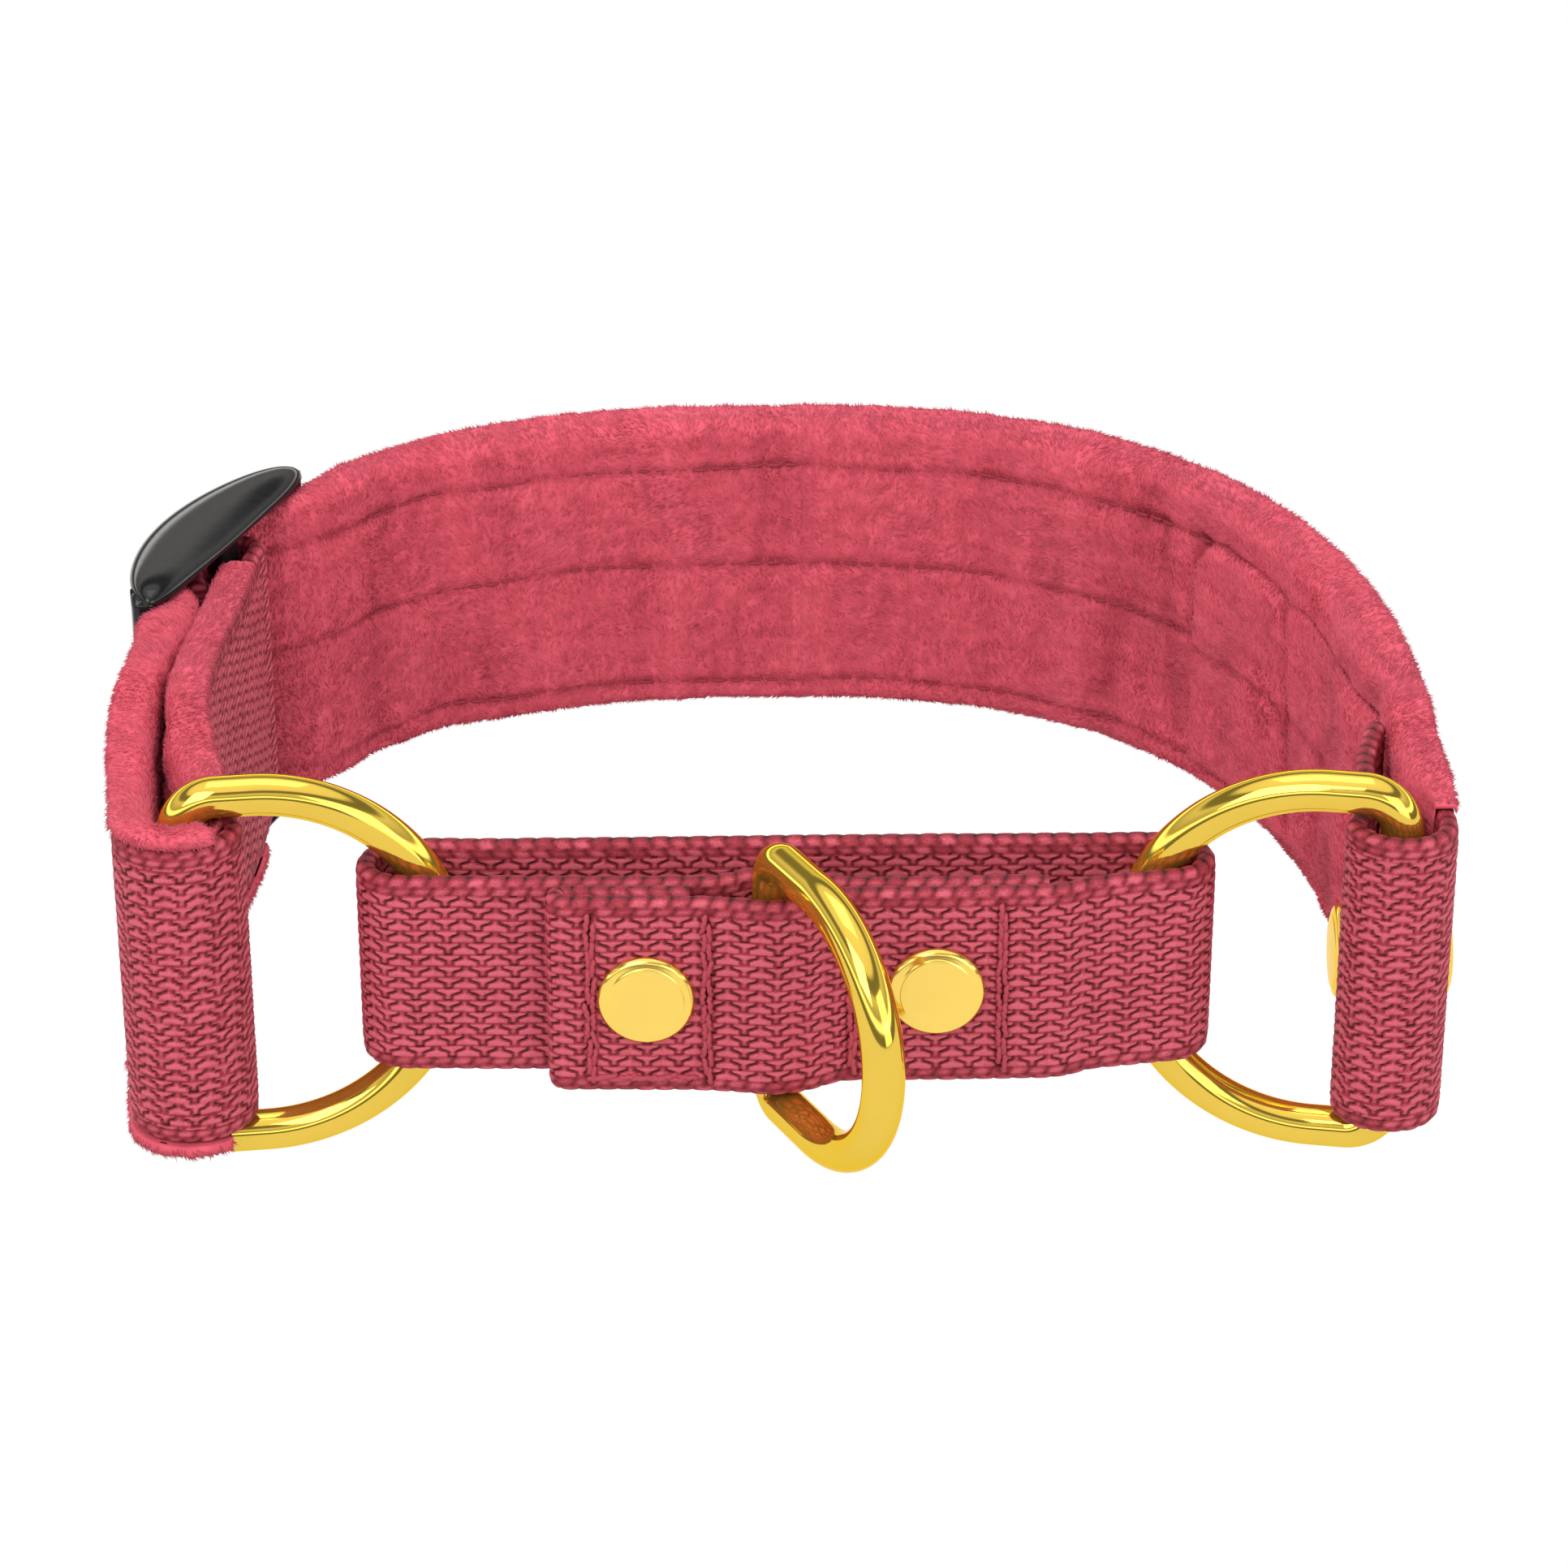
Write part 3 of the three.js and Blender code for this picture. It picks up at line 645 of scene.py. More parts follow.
def rounded(points, radius, steps=6):
    """A profile with each inner corner turned into a small curve."""
    points = np.asarray(points, float)
    made = [points[0]]
    for a, b, c in zip(points, points[1:], points[2:]):
        cut = min(radius, np.linalg.norm(b - a) / 2.1, np.linalg.norm(c - b) / 2.1)
        start = b + (a - b) / np.linalg.norm(a - b) * cut
        end = b + (c - b) / np.linalg.norm(c - b) * cut
        for t in np.linspace(0, 1, steps):
            made.append((1 - t) ** 2 * start + 2 * t * (1 - t) * b + t**2 * end)
    made.append(points[-1])
    return np.array(made)


def rivet(name, node, body):
    """One half of a double-cap rivet: a flat head with a bevelled rim, and its shank."""
    mesh = frame["nodes"][node].data
    spread = np.zeros((3, 3))
    for face in mesh.polygons:
        normal = np.array(face.normal)
        spread += face.area * np.outer(normal, normal)
    axis = np.linalg.eigh(spread)[1][:, -1]
    q = node_points(node)
    centre = (q.min(0) + q.max(0)) / 2
    along = (q - centre) @ axis
    radius = np.linalg.norm((q - centre) - along[:, None] * axis, axis=1)
    if along[radius > RIVET_RADIUS - 0.2].mean() < 0:
        axis, along = -axis, -along
    top, bottom = along.max(), along.min()
    shank = radius[along < top - 2].max()
    profile = rounded([
        [1e-3, top], [RIVET_RADIUS - 1.3, top - 0.02], [RIVET_RADIUS - 1.05, top - 0.16],
        [RIVET_RADIUS - 0.35, top - 0.34], [RIVET_RADIUS, top - 0.75], [RIVET_RADIUS - 0.02, top - 1.2],
        [shank, top - 1.2], [shank, bottom], [1e-3, bottom],
    ], 0.22)
    points, quads = lathe(profile)
    helper = np.array([0, 0, 1.0]) if abs(axis[2]) < 0.9 else np.array([1.0, 0, 0])
    u = np.cross(helper, axis)
    u /= np.linalg.norm(u)
    points = centre + points[:, :1] * u + points[:, 1:2] * np.cross(axis, u) + points[:, 2:] * axis
    made = dress(make_object(name, points, quads), RIVET_GOLD)
    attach(made, body)
    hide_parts(node)


for spot in ("front_left", "front_right"):
    rivet(f"rivet_head_{spot}", f"rivet_cap_{spot}", "control_loop")
    rivet(f"rivet_back_{spot}", f"rivet_socket_{spot}", "control_loop")
rivet("rivet_head_end", "rivet_cap_end_inner", "right_side")
rivet("rivet_back_end", "rivet_socket_end_outer", "right_side")

# ---- Slider ----
# A tri-glide bent to the band: two domed crescent rails joined by three bars.

slider_joint = next(j for j in frame["joints"] if j["name"] == "slider_shift")
slider_centre = np.array(slider_joint["pos_m"][:2]) / MM
slider_points = node_points("tri_glide")
slider_reach = slider_points[:, :2] - slider_centre
slider_radius = np.hypot(*slider_reach.T)
slider_angle = np.arctan2(slider_reach[:, 1], slider_reach[:, 0]) % math.tau
RAIL_FROM, RAIL_TO = slider_angle.min(), slider_angle.max()
RAIL_OUT, RAIL_IN = slider_radius.max(), slider_radius.min()
RAIL_TOP = slider_points[:, 2].max()
SLOT_TOP = 21.1
RAIL_TIP = 0.42  # a rail's width at its tips, as a share of its full width
RAIL_SEAT = 20.95  # underside of a rail, just above the band's edge
RAIL_BELLY = 0.5  # how far a rail's underside bulges below its widest level
RAIL_STATIONS = 180
BAR_SINK = 0.8  # how far a bar's ends run into the rails


def rail(direction):
    """Rings of points along one rail: a crescent, round in section, with blunt rounded tips."""
    t = np.linspace(0, 1, int(RAIL_STATIONS / COARSE))[:, None]
    t = 0.5 - 0.5 * np.cos(math.pi * t)
    swell = RAIL_TIP + (1 - RAIL_TIP) * np.sin(math.pi * t) ** 0.8
    close = np.clip(1 - np.abs(2 * t - 1) ** 9, 0, 1) ** 0.5 + 0.004
    width = (RAIL_OUT - RAIL_IN) * swell
    angle = np.linspace(0, math.tau, 56, endpoint=False)[None]
    lean = 0.18 * np.sin(angle) * (np.sin(angle) > 0)
    across = np.cos(angle) + lean
    radius = RAIL_OUT - width / 2 + across * width / 2 * close
    up = np.sin(angle)
    dome = (RAIL_TOP - RAIL_SEAT - RAIL_BELLY) * np.abs(up) ** 0.9
    rise = np.where(up > 0, dome, -RAIL_BELLY * np.abs(up) ** 0.6)
    z = RAIL_SEAT + RAIL_BELLY + rise * close
    turn = RAIL_FROM + (RAIL_TO - RAIL_FROM) * t
    x = slider_centre[0] + radius * np.cos(turn)
    y = slider_centre[1] + radius * np.sin(turn)
    return np.stack([x, y, direction * z], -1)


def bar(angle, inner, outer, half_width):
    """Rings of points up one bar, whose section is a rounded block."""
    height = np.linspace(-SLOT_TOP - BAR_SINK, SLOT_TOP + BAR_SINK, 30)[:, None]
    around = np.linspace(0, math.tau, 32, endpoint=False)[None]
    c, s = np.cos(around), np.sin(around)
    radial = (inner + outer) / 2 + np.sign(c) * np.abs(c) ** 0.5 * (outer - inner) / 2
    side = np.sign(s) * np.abs(s) ** 0.5 * half_width
    x = slider_centre[0] + radial * math.cos(angle) - side * math.sin(angle) + 0 * height
    y = slider_centre[1] + radial * math.sin(angle) + side * math.cos(angle) + 0 * height
    return np.stack([x, y, height + 0 * x], -1)


def joined(name, sleeves):
    """One object from several closed sleeves of point rings."""
    points, quads, triangles, count = [], [], [], 0
    for rings in sleeves:
        q, tri = loft_faces(*rings.shape[:2])
        points.append(rings.reshape(-1, 3))
        quads.append(q + count)
        triangles.append(tri + count)
        count += len(points[-1])
    return make_object(name, np.concatenate(points), np.concatenate(quads), np.concatenate(triangles))


# The rear, centre and front bars: angle, inner radius, outer radius, half width.
SLIDER_BARS = ((128.5, 37, 40, 2.0), (159, 30.9, 33, 2.3), (191, 37, 40, 2.0))
sleeves = [rail(1), rail(-1)] + [bar(math.radians(a), *sizes) for a, *sizes in SLIDER_BARS]
slider = dress(joined("tri_glide_moulded", sleeves), PLASTIC)
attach(slider, "slider")
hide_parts("tri_glide")

# ---- Stitching on the control loop ----


STITCH_PITCH = 2.3
STITCH_WIRE = 0.3
STITCH_RISE = 0.28  # how far the middle of a stitch stands off the cloth
STITCH_SINK = 0.06  # how far its ends go in


def thread_piece(name, sleeves, yarn_height_and_shade, nodes):
    """One piece of thread made of separate stitches."""
    piece = joined(name, sleeves)
    level = np.full(len(piece.data.vertices), yarn_height_and_shade, np.float32)
    piece.data.attributes.new("yarn_height_and_shade", "FLOAT", "POINT").data.foreach_set("value", level)
    dress(piece, THREAD)
    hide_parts(*nodes)
    return piece


def stitch_run(name, nodes, start, end, lean, seed):
    """A row of short twisted stitches between two points, each one slightly off the line."""
    draw = np.random.default_rng(seed)
    start, end = np.array(start, float), np.array(end, float)
    length = np.linalg.norm(end - start)
    along = (end - start) / length
    front = np.array([0, -1.0, 0])
    side = np.cross(front, along)
    sleeves = []
    for strand in (-1, 1):
        for k in range(int(length / STITCH_PITCH)):
            middle_at = start + along * (k + 0.5 + 0.25 * strand) * STITCH_PITCH
            middle_at = middle_at + side * (strand * lean + draw.normal(0, 0.09))
            t = np.linspace(-1, 1, 13)[:, None]
            slant = draw.normal(0, 0.16)
            core = middle_at + along * t * STITCH_PITCH * 0.56 + side * t * slant
            rise = STITCH_RISE * (1 - t**2) - STITCH_SINK
            core = core + front * rise + side * 0.06 * np.sin(9 * t + k)
            thick = STITCH_WIRE * np.sqrt(np.clip(1 - t**8, 0, 1)) + 0.01
            angle = np.linspace(0, math.tau, 10, endpoint=False)[None, :, None]
            twist = angle + t[:, None] * 5
            bulge = 1 + 0.16 * np.cos(2 * twist)
            around = np.cos(angle) * side + np.sin(angle) * front
            rings = core[:, None] + (thick[:, None] * bulge) * around
            sleeves.append(rings)
    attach(thread_piece(name, sleeves, 0.75, nodes), "control_loop")


def stitch_place(node, off):
    """A stitch line's middle in x, its face on the cloth moved by off in y, and its two ends in z."""
    low, high = (np.array(c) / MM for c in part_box(node))
    return (low[0] + high[0]) / 2, high[1] + off, low[2], high[2]


for n, node in enumerate(STRAP_STITCHES):
    x, y, low, high = stitch_place(node, 0.12)
    stitch_run(f"{node}_thread", [node], (x, y, low), (x, y, high), 0.3, 80 + n)
lower_edge = []
for node in ("stitch_fold", "stitch_left_of_ring"):
    x, y, low, high = stitch_place(node, 0.1)
    lower_edge.append((x, y, low + 0.2))
stitch_run("stitch_lower_edge_thread", [], *lower_edge, 0.1, 91)

# ---- Plush lining ----

BAND_HALF = half_height("lining_back")
FACE = LINING_FACE + LINING_THICK
PRESSED_HALF = 19.0  # half height of the plush where the left ring lies on it
ROLL = 2.4  # roundness of the plush where it turns over the band's edges
LIP = 0.8
STITCH_ROWS = (14.2, 0.0, -17.4)
START_LAP = 2.0  # how far the lining's thin edge laps on towards the right loop
START_TAPER = 8.0  # length over which the lining thins out there
PATCH_THICK = 1.8
FOLD_TOP = 16.0  # how high the cloth's upright folds reach
GROOVE_SHADE = 0.12  # painted shade: how much darker the pile is in a stitch row
SWELL_SHADE = 0.17  # painted light: how much lighter it is for each millimetre that the cloth swells
LINING_TIP = (-64.9, 22.0)  # where the lining ends on the tail that goes back to the slider
LINING_END = band.near(LINING_TIP)
LINING_SEED = 31
ROW_WANDER = 0.35  # how far a stitch row strays from its height
PILE_DENSITY = 10.0  # fibres on a square millimetre
FIBRE_LENGTH = (0.5, 0.95)
FIBRE_TILT = (12, 38)
FIBRE_WIDTH = (0.06, 0.13)
ROOT_SINK = 0.06
CLUMP = 1.1  # size of the cells whose fibres draw together
CLUMP_PULL = 0.16


def along_band(node, low, high):
    """The least and greatest length along the band at which a node lies, between two lengths."""
    s = np.linspace(low, high, 2000)
    p = band.at(s)[0]
    q = np.unique(np.round(node_points(node)[:, :2], 1), axis=0)
    distance = np.hypot(p[None, :, 0] - q[:, None, 0], p[None, :, 1] - q[:, None, 1])
    best = s[distance.argmin(1)]
    return best.min(), best.max()


PAD_FROM = along_band("padding_right", 60, RIGHT_FLEX)[0] - PADDING_LEAD
PAD_TO = along_band("padding_back", RIGHT_FLEX, LEFT_FLEX)[1] + PADDING_LEAD
LINING_START = along_band("lining_right", 35, RIGHT_FLEX)[0] - START_LAP
PATCH_FROM, PATCH_TO = along_band("lining_end_patch", 60, RIGHT_FLEX)
PATCH_CREASE = PATCH_TO - 26  # the patch is thinner from here towards the right loop
# Upright folds: length along the band, lean, width, depth; the depth also sets the painted shade in the
# fold.
CHEEK_FOLDS = (
    (PATCH_TO + 1.2, 0, 1.5, 3.2),
    (PATCH_TO + 8, 0.15, 2.2, 1.4),
    (PATCH_TO + 17, -0.2, 2.6, 1.2),
)
PATCH_FOLDS = ((PATCH_CREASE, 0.12, 1.2, 2.4), (PATCH_TO - 40, -0.1, 2.4, 0.9))


def padding_lift(s):
    """How far the padding holds the plush off the webbing."""
    rise = smooth_step(0, PADDING_RAMP, s - PAD_FROM)
    fall = smooth_step(0, PADDING_RAMP, PAD_TO - s)
    return (PADDING_THICK + SEAM_GAP) * rise * fall


def resample(points, step):
    """A polyline's points at an even spacing."""
    points = np.asarray(points, float)
    run = np.concatenate([[0], np.cumsum(np.hypot(*np.diff(points, axis=0).T))])
    count = max(3, int(round(run[-1] / step)) + 1)
    even = np.linspace(0, run[-1], count)
    return np.stack([np.interp(even, run, points[:, k]) for k in (0, 1)], -1)


def mirrored(half):
    """A section's visible side from its bottom edge to its top edge, from the upper half of it."""
    return np.concatenate([half * [1, -1], half[::-1][1:]])


def rolled_section():
    """A sheet whose two edges roll over the webbing: offset from the webbing's outer face, height."""
    half = np.concatenate([
        arc_points(LIP - 0.35, BAND_HALF - LIP, LIP, 225, 90),
        arc_points(FACE - ROLL, BAND_HALF - ROLL, ROLL, 90, 0),
        [[FACE, 0]],
    ])
    return mirrored(resample(half, PLUSH_STEP * COARSE))


def flat_section(low, high, near, far):
    """A plain sheet with soft edges."""
    r = (far - near) * 0.8
    corner = arc_points(far - r, high - r, r, 90, 0)
    half = np.concatenate([[[near, high]], corner, [[far, (low + high) / 2]]])
    half = resample(half, PLUSH_STEP * COARSE)
    return np.concatenate([half * [1, -1] + [0, low + high], half[::-1][1:]])


def row_line(row, n, seed, s):
    """The height of stitch row n at length s."""
    return row + ROW_WANDER * ripple(seed + 10 + n, s, s * 0, 30, 9)


def cloth_relief(s, z, seed, rows, folds, calm):
    """How far the cloth swells between its stitch rows and folds, and the painted light and shade that this
    gives its pile.
    """
    swell = 0.3 * ripple(seed, s, z, 12, 70) + 0.2 * ripple(seed + 1, s, z, 26, 30)
    swell *= 0.25 + 0.75 * smooth_step(BAND_HALF, BAND_HALF - 5, np.abs(z))
    clump = 0.07 * ripple(seed + 2, s, z, 3.4, 3.0, 14)
    groove = np.zeros(s.shape)
    for n, row in enumerate(rows):
        groove += crease(z - row_line(row, n, seed, s), 0.8)
    reach = smooth_step(FOLD_TOP, FOLD_TOP - 2, np.abs(z))
    for at, lean, width, depth in folds:
        groove += depth * crease(s - at - lean * z, width) * reach
    return calm * swell + clump - 0.5 * groove, SWELL_SHADE * calm * swell - GROOVE_SHADE * groove


def off_band(stations, offset, z):
    """Points at lengths along the band, held off its outer side by offset, at height z."""
    p, n = band.at(stations)
    return np.concatenate([p[:, None] + n[:, None] * offset[..., None], z[..., None]], -1)


def plush_sheet(name, s0, s1, section, warp, hidden, seed, rows=(), folds=(), calm=1.0):
    """A plush cloth with its pile: two pieces, the knitted ground and the fibres standing on it."""
    stations = np.linspace(s0, s1, max(4, int((s1 - s0) / (PLUSH_STEP * COARSE))))
    s = np.broadcast_to(stations[:, None], (len(stations), len(section)))
    offset, z = warp(s, section[None, :, 0], section[None, :, 1])
    across = np.gradient(np.stack([offset, z], -1), axis=1)
    across /= np.linalg.norm(across, axis=-1, keepdims=True) + 1e-9
    rise, painted_light_and_shade = cloth_relief(s, z, seed, rows, folds, calm)
    offset = offset + across[..., 1] * rise
    z = z - across[..., 0] * rise
    seen = off_band(stations, offset, z)
    back = off_band(stations, *hidden(s, offset, z))
    rings = np.concatenate([seen, back[:, 1:-1][:, ::-1]], 1)
    tone = 0.42 + 0.08 * ripple(seed + 3, rings[..., 0], rings[..., 2], 5, 4)
    # Painted light on the swells and painted shade in the grooves, on the seen side only.
    tone[:, :painted_light_and_shade.shape[1]] += painted_light_and_shade
    place = np.stack([rings[..., 0] + rings[..., 1], rings[..., 2], rings[..., 0] * 0], -1)
    ground = loft(name, rings, {"tone": tone.ravel(), "weave": place.reshape(-1, 3)})
    dress(ground, PLUSH)
    pile = grow_pile(f"{name}_pile", seen, s, z, painted_light_and_shade, seed)
    return ground, pile


def grow_pile(name, seen, s, z, painted_light_and_shade, seed):
    """Fibres on a grid of points: slim three-sided spikes, combed in patches and drawn into clumps."""
    draw = np.random.default_rng(seed)
    along = np.gradient(seen, axis=0)
    across = np.gradient(seen, axis=1)
    cell = np.linalg.norm(np.cross(along, across), axis=-1)
    count = int(PILE_DENSITY * cell.sum() / COARSE**2)
    i = draw.uniform(0, seen.shape[0] - 1.001, count)
    j = draw.uniform(0, seen.shape[1] - 1.001, count)
    i0, j0 = i.astype(int), j.astype(int)
    fi, fj = (i - i0)[:, None], (j - j0)[:, None]

    def pick(grid):
        low = grid[i0, j0] * (1 - fj) + grid[i0, j0 + 1] * fj
        high = grid[i0 + 1, j0] * (1 - fj) + grid[i0 + 1, j0 + 1] * fj
        return low * (1 - fi) + high * fi

    root = pick(seen)
    t1, t2 = pick(along), pick(across)
    t1 /= np.linalg.norm(t1, axis=1, keepdims=True)
    up = np.cross(t2, t1)
    up /= np.linalg.norm(up, axis=1, keepdims=True)
    t2 = np.cross(t1, up)
    place_s = pick(s[..., None])[:, 0]
    place_z = pick(z[..., None])[:, 0]
    comb = ripple(seed + 4, place_s, place_z, 26, 20) + 0.35 * ripple(seed + 5, place_s, place_z, 6, 6)
    comb += draw.normal(0, 0.25, count) + 1.2
    tilt = np.radians(draw.uniform(*FIBRE_TILT, count))
    size = draw.uniform(*FIBRE_LENGTH, count)
    lie = np.cos(comb)[:, None] * t1 + np.sin(comb)[:, None] * t2
    ci = np.floor(place_s / CLUMP)
    cj = np.floor(place_z / CLUMP + 0.5 * (ci % 2))
    pull_s = (ci + 0.25 + 0.5 * cell_value(seed, ci, cj)) * CLUMP - place_s
    pull_z = (cj - 0.5 * (ci % 2) + 0.25 + 0.5 * cell_value(seed + 1, ci, cj)) * CLUMP - place_z
    tip = root + size[:, None] * (np.cos(tilt)[:, None] * lie + np.sin(tilt)[:, None] * up)
    tip += CLUMP_PULL * (pull_s[:, None] * t1 + pull_z[:, None] * t2)
    side = np.cross(tip - root, up)
    side /= np.linalg.norm(side, axis=1, keepdims=True) + 1e-9
    width = draw.uniform(*FIBRE_WIDTH, count)[:, None]
    root = root - ROOT_SINK * up
    points = np.stack([root - width * side, root + width * side, root + width * 1.3 * up, tip], 1)
    streak = ripple(seed + 6, place_s, place_z, 9, 1.7, 14) + ripple(seed + 8, place_s, place_z, 22, 5)
    shade = 0.5 + 0.09 * draw.normal(0, 1, count) + 0.1 * (cell_value(seed + 2, ci, cj) - 0.5)
    shade = shade + 0.07 * streak
    # Painted light on the cloth's swells and painted shade in its grooves.
    shade += pick(painted_light_and_shade[..., None])[:, 0]
    # Painted shade at each fibre's root and painted light at its tip.
    tone = np.stack([shade - 0.14, shade - 0.14, shade - 0.1, shade + 0.12], 1)
    place = np.stack([root[:, 0] + root[:, 1], root[:, 2], root[:, 0] * 0], -1)
    place = np.repeat(place, 4, 0)
    first = np.arange(count)[:, None] * 4
    faces = np.stack([first + [0, 2, 3], first + [2, 1, 3], first + [1, 0, 3]], 1).reshape(-1, 3)
    pile = make_object(
        name, points.reshape(-1, 3), triangles=faces, values={"tone": tone.ravel(), "weave": place}
    )
    return dress(pile, PLUSH)


left_bar = min(node_points("left_d_ring"), key=lambda q: q[0] + abs(q[2]) / 4)[:2] + [WIRE / 2, 0]
PRESS_START = (-48, -32)  # the ring flattens the plush between these angles round its bar
PRESS_END = (34, 22)
PRESS_REACH = 12
FLARE = 1.5  # the rolled edge flares where the band comes out of the slider
FLARE_RADIUS = 38
FLARE_TURN = 3.36
flare_way = np.array([math.cos(FLARE_TURN), math.sin(FLARE_TURN)])
FLARE_AT = band.near(slider_centre + FLARE_RADIUS * flare_way) + 4


def pressed(s):
    """How far the plush in the left loop is flattened under the ring, over the ring's whole swing."""
    p, n = band.at(s[:, 0])
    reach = p + 3.5 * n - left_bar
    turn = np.degrees(np.arctan2(reach[:, 1], reach[:, 0]))
    there = smooth_step(*PRESS_START, turn) * smooth_step(*PRESS_END, turn)
    return (there * (np.hypot(*reach.T) < PRESS_REACH))[:, None]


def lining_warp(s, offset, z):
    """The lining's section at each length: thicker over the padding, and flat under the left ring."""
    offset = offset + padding_lift(s) * smooth_step(0.3, 2.3, offset)
    offset = offset - FLARE * crease(s - FLARE_AT, 4.0) * smooth_step(2.0, 0.2, offset)
    thin = 1 - smooth_step(0, START_TAPER, s - LINING_START)
    offset = offset - thin * (LINING_THICK - 0.5) * smooth_step(0, LINING_THICK, offset - LINING_FACE)
    z = z * (1 - 0.05 * thin)
    flat = pressed(s)
    z = z * (1 - flat * (1 - PRESSED_HALF / BAND_HALF))
    offset = offset * (1 - flat) + flat * np.maximum(offset, LINING_FACE + 0.3)
    return offset, z + 0 * offset


def lining_hidden(s, offset, z):
    """The lining's inner side, which lies on the padding or the webbing and under the rolled edges."""
    face = LINING_FACE + padding_lift(s)
    edge = HALF_WEB + SEAM_GAP
    flat = pressed(s)
    low = 0.1 * (1 - flat) + (LINING_FACE + 0.05) * flat
    return np.clip(offset, low, face), np.clip(z, -edge, edge)


def bend_with(piece):
    """Bakes a piece's placement into its mesh."""
    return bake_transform(piece)


def lay_plush(side, nodes, *sheet):
    """A plush sheet in place of CAD nodes. The side is not used."""
    ground, pile = plush_sheet(*sheet)
    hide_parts(*nodes)
    bend_with(ground)
    bend_with(pile)


section = rolled_section()
lay_plush(
    "right", ["lining_right"], "plush_right_half", LINING_START, BACK_MIDDLE, section, lining_warp,
    lining_hidden, LINING_SEED, STITCH_ROWS, CHEEK_FOLDS,
)
lay_plush(
    "left", ["lining_back", "lining_left"], "plush_left_half", BACK_MIDDLE, LINING_END, section, lining_warp,
    lining_hidden, LINING_SEED, STITCH_ROWS,
)

SUNK_PITCH = 2.6
SUNK_WIRE = 0.19
SUNK_DEPTH = 0.42  # how far the stitches lie below the plush's face
UP = np.array([0, 0, 1.0])


def sunk_thread(name, n_row, s0, s1, side, seed, *nodes):
    """Stitches along one row, at the bottom of the groove that they draw into the plush."""
    draw = np.random.default_rng(seed)
    t = np.linspace(-1, 1, 9)
    thick = SUNK_WIRE * np.sqrt(np.clip(1 - t**8, 0, 1)) + 0.01
    angle = np.linspace(0, math.tau, 8, endpoint=False)[None, :, None]
    sleeves = []
    for k in range(int((s1 - s0) / SUNK_PITCH)):
        s = s0 + (k + 0.5 + 0.47 * t) * SUNK_PITCH
        p, n = band.at(s)
        depth = FACE + padding_lift(s) - SUNK_DEPTH - 0.2 * t**2
        z = row_line(STITCH_ROWS[n_row], n_row, LINING_SEED, s) + draw.normal(0, 0.05)
        core = np.concatenate([p + n * depth[:, None], z[:, None]], -1)
        out = np.concatenate([n, 0 * z[:, None]], -1)
        around = np.cos(angle) * out[:, None] + np.sin(angle) * UP
        sleeves.append(core[:, None] + thick[:, None, None] * around)
    bend_with(thread_piece(name, sleeves, 0.6, nodes))


for n, row_name in enumerate(("top", "middle", "bottom")):
    start = PATCH_TO + 2 if row_name == "middle" else PATCH_CREASE
    name = f"lining_stitches_{row_name}"
    sunk_thread(f"{name}_right", n, start, BACK_MIDDLE, "right", 60 + n, f"stitch_row_{row_name}_back")
    sunk_thread(f"{name}_left", n, BACK_MIDDLE, LEFT_FLEX + 12, "left", 70 + n)

# The second piece of plush on the neck side of the right cheek.
PATCH_RISE = 1.8
CORNER_DROP = 3.0
CORNER_LENGTH = 4
patch_low, patch_high = (np.array(c)[2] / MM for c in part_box("lining_end_patch"))


def patch_warp(s, offset, z):
    """The patch lies on the lining, rises a little at its top, and has a rounded top corner."""
    lift = PATCH_RISE - CORNER_DROP * np.clip(1 - (PATCH_TO - s) / CORNER_LENGTH, 0, 1) ** 2
    top = np.clip(z / patch_high, 0, 1)
    front = smooth_step(FACE, FACE + PATCH_THICK, offset)
    offset = offset - 0.5 * smooth_step(PATCH_CREASE, PATCH_TO - 29, s) * front * PATCH_THICK
    return offset + padding_lift(s), z + lift * top


def patch_hidden(s, offset, z):
    near = FACE + padding_lift(s) - 0.1
    return np.minimum(offset, near), z


patch_section = flat_section(patch_low, patch_high, FACE, FACE + PATCH_THICK)
lay_plush(
    "right", ["lining_end_patch"], "plush_end_patch", PATCH_FROM, PATCH_TO, patch_section, patch_warp,
    patch_hidden, 57, (0.0,), PATCH_FOLDS, 0.6,
)

# ---- Padding ----


def foam_sheet(name, s0, s1, half, side, *nodes):
    """The foam between the webbing and the plush, with soft edges."""
    stations = np.linspace(s0, s1, int((s1 - s0) / COARSE))
    near = LINING_FACE + 0 * stations
    far = np.maximum(near + padding_lift(stations) - SEAM_GAP, near + 0.3)
    z = np.linspace(-half, half, 30)
    dome = (1 - np.abs(z / half) ** 12)[None]
    p, n = band.at(stations)
    z = z[None] + 0 * near[:, None]
    outer = p[:, None] + n[:, None] * (near[:, None] + 0 * z)[..., None]
    thick = (far - near)[:, None] * (0.25 + 0.75 * dome)
    inner = outer + n[:, None] * thick[..., None]
    outer = np.concatenate([outer, z[..., None]], -1)
    inner = np.concatenate([inner, z[..., None]], -1)
    rings = np.concatenate([outer, inner[:, 1:-1][:, ::-1]], 1)
    piece = dress(loft(name, rings), FOAM)
    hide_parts(*nodes)
    bend_with(piece)


foam_half = half_height("padding_back")
foam_sheet("foam_right_half", PAD_FROM + PADDING_LEAD, BACK_MIDDLE, foam_half, "right", "padding_right")
foam_sheet("foam_left_half", BACK_MIDDLE, PAD_TO - PADDING_LEAD, foam_half, "left", "padding_back")

bend_with(webbing_right)
bend_with(webbing_left)

# ---- Floor, light and camera ----

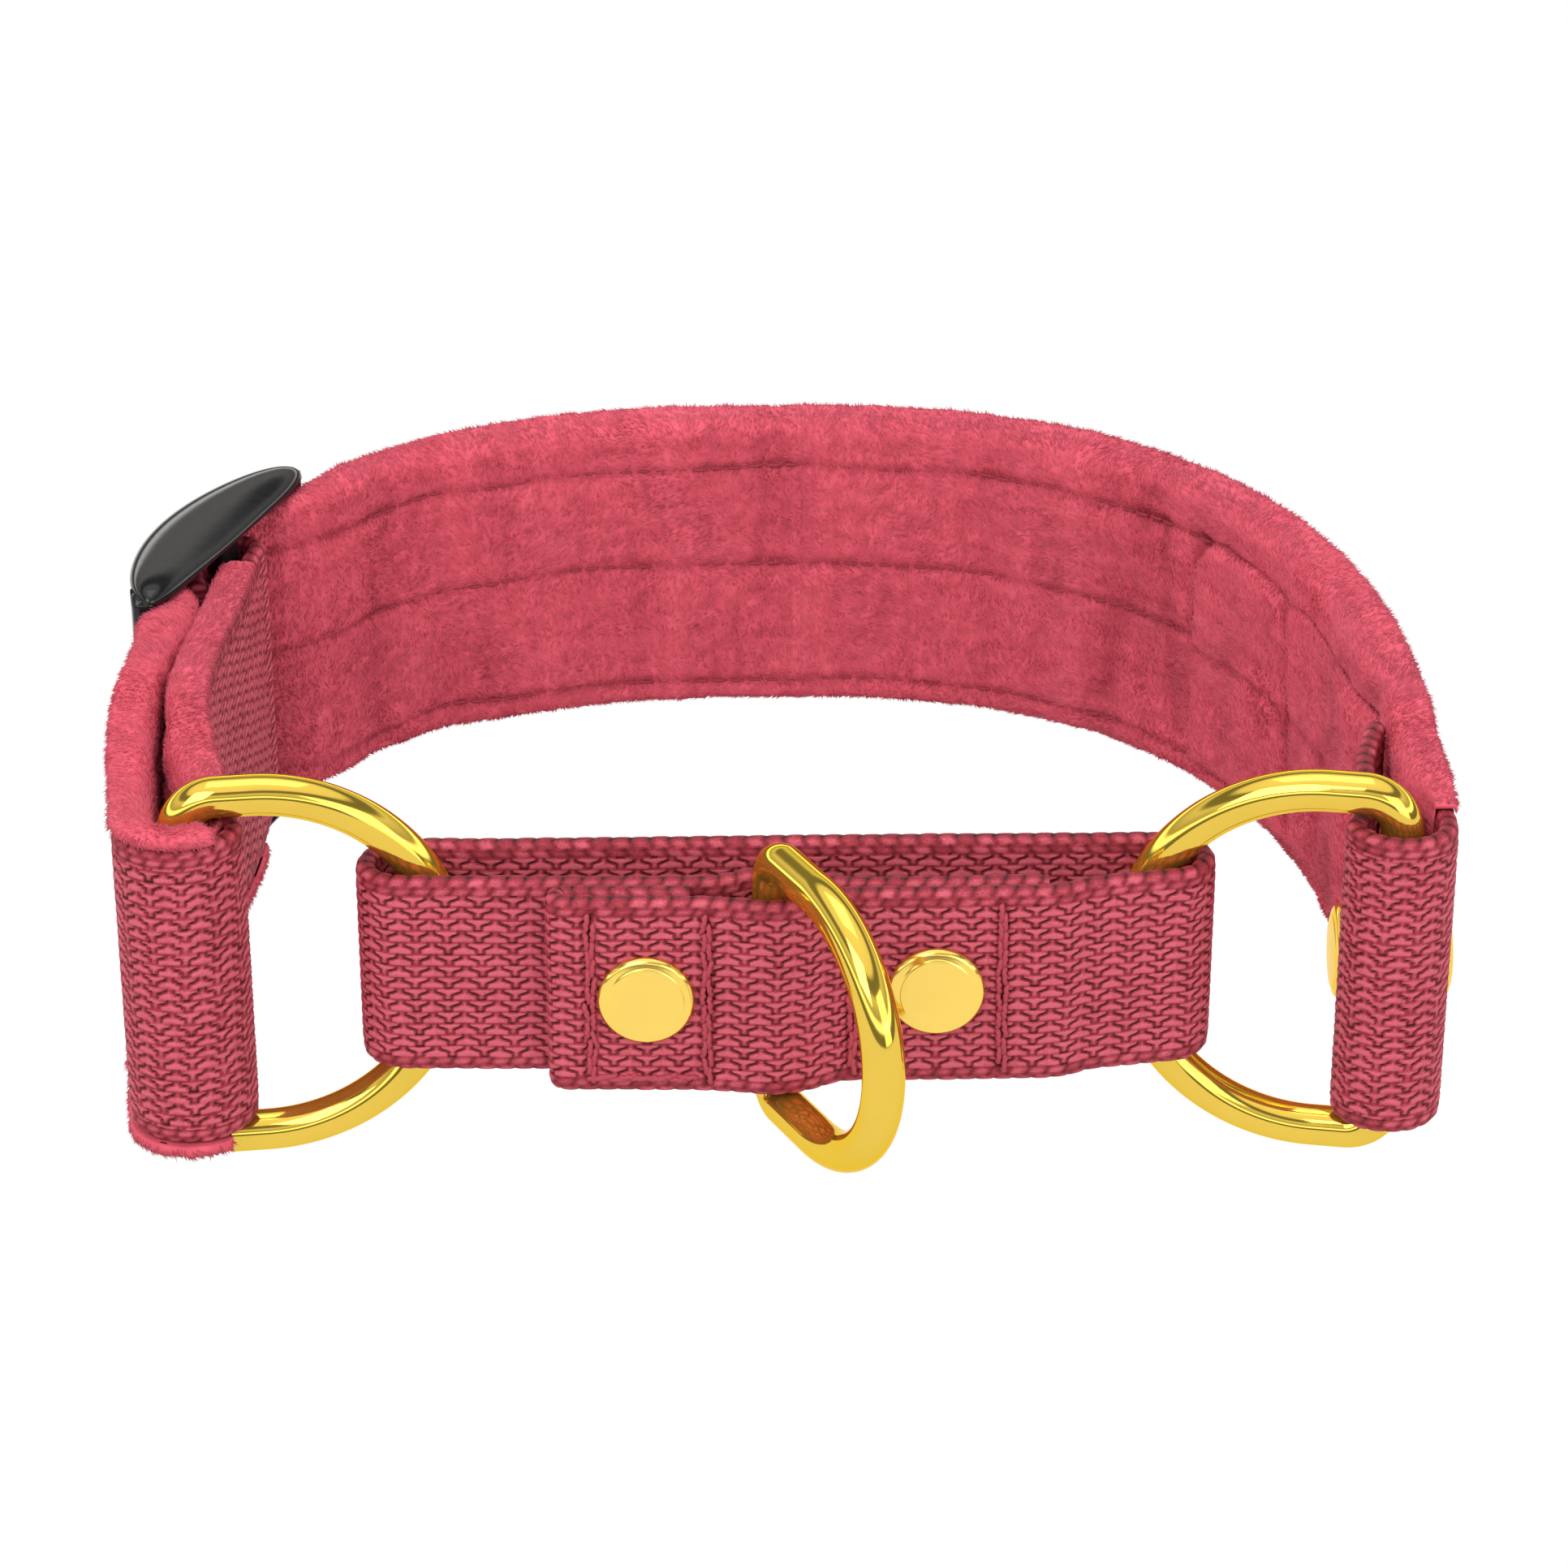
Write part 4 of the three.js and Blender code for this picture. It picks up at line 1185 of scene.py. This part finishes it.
CAMERA_DISTANCE = 579.0
CAMERA_RISE = 27.0
CAMERA_LENS = 107.8
CAMERA_AIM = (0.00176, 0.0011, 0.0)
FLOOR_DROP = 0.2  # gap under the lowest point
FLOOR_SIZE = 6.0  # in metres
WHITE = (1, 1, 1, 1)
ROOM_STRENGTH = 1.15
MIRROR_STRENGTH = 4.0
# How bright the room looks in shiny things, from straight down at 0 to straight up at 1.
STUDIO_BANDS = (
    (0.0, 0.12), (0.44, 0.1), (0.5, 0.02), (0.57, 0.03), (0.595, 0.6), (0.625, 0.6), (0.655, 0.1),
    (0.765, 0.22), (0.8, 0.03), (0.86, 0.02), (0.89, 0.25), (1.0, 0.3),
)


def build_floor():
    z = cad_box[0].z / MM - FLOOR_DROP
    side = FLOOR_SIZE / MM / 2
    points = [(-side, -side, z), (side, -side, z), (side, side, z), (-side, side, z)]
    floor = make_object("floor", points, [[0, 1, 2, 3]])
    look = Look("pale_floor")
    output = next(n for n in look.tree.nodes if n.type == "OUTPUT_MATERIAL")
    path = look.node("LightPath")
    white = look.glow("Emission", WHITE, 1.0)
    glint = look.math("ADD", look.math("MULTIPLY", path.outputs["Is Glossy Ray"], 0.2), 0.8)
    bounce = look.glow("Emission", (1.0, 0.97, 0.94, 1), glint)
    seen = look.mix(path.outputs["Is Camera Ray"], bounce, white)
    look.join(seen, output.inputs["Surface"])
    floor.data.materials.append(look.material)


def build_world():
    """A white studio. Shiny things see it with darker bands, so that their curves can be read."""
    world = bpy.data.worlds.new("studio")
    bpy.context.scene.world = world
    world.use_nodes = True
    world.node_tree.nodes.clear()
    sky = Shader(world.node_tree)
    path = sky.node("LightPath")
    split = sky.node("SeparateXYZ")
    sky.join(sky.node("TexCoord").outputs["Generated"], split.inputs[0])
    height = sky.node("MapRange")
    height.inputs["From Min"].default_value = -1
    sky.join(split.outputs["Z"], height.inputs["Value"])
    stops = [(at, (level, level * 0.97, level * 0.93, 1)) for at, level in STUDIO_BANDS]
    mirror = sky.glow("Background", sky.ramp(height.outputs[0], *stops), MIRROR_STRENGTH)
    room = sky.glow("Background", (1, 0.99, 0.98, 1), ROOM_STRENGTH)
    white = sky.glow("Background", WHITE, 1.0)
    lit = sky.mix(path.outputs["Is Glossy Ray"], room, mirror)
    seen = sky.mix(path.outputs["Is Camera Ray"], lit, white)
    sky.join(seen, sky.node("OutputWorld").inputs["Surface"])


def soft_light(name, place, size, power, colour=(1, 1, 1)):
    """A square lamp that faces the collar."""
    data = bpy.data.lights.new(name, "AREA")
    data.size = size
    data.energy = power
    data.color = colour
    lamp = bpy.data.objects.new(name, data)
    lamp.location = place
    lamp.rotation_mode = "QUATERNION"
    lamp.rotation_quaternion = (Vector() - Vector(place)).to_track_quat("-Z", "Y")
    bpy.context.scene.collection.objects.link(lamp)


def build_camera():
    rise = math.radians(CAMERA_RISE)
    away = Vector((0, -math.cos(rise), math.sin(rise)))
    data = bpy.data.cameras.new("camera")
    data.lens = CAMERA_LENS
    data.sensor_width = 36
    camera = bpy.data.objects.new("camera", data)
    camera.location = Vector(CAMERA_AIM) + away * CAMERA_DISTANCE * MM
    camera.rotation_mode = "QUATERNION"
    camera.rotation_quaternion = (-away).to_track_quat("-Z", "Y")
    data.clip_start = 0.01
    bpy.context.scene.collection.objects.link(camera)
    bpy.context.scene.camera = camera


build_floor()
build_world()
soft_light("key", (-0.3, -0.6, 0.55), 0.5, 3.2, (1, 0.98, 0.96))
soft_light("fill", (0.6, -0.7, 0.3), 0.6, 1.9)
soft_light("top", (0.0, 0.1, 0.8), 0.5, 1.0)
build_camera()
bpy.context.scene.view_settings.view_transform = "Standard"
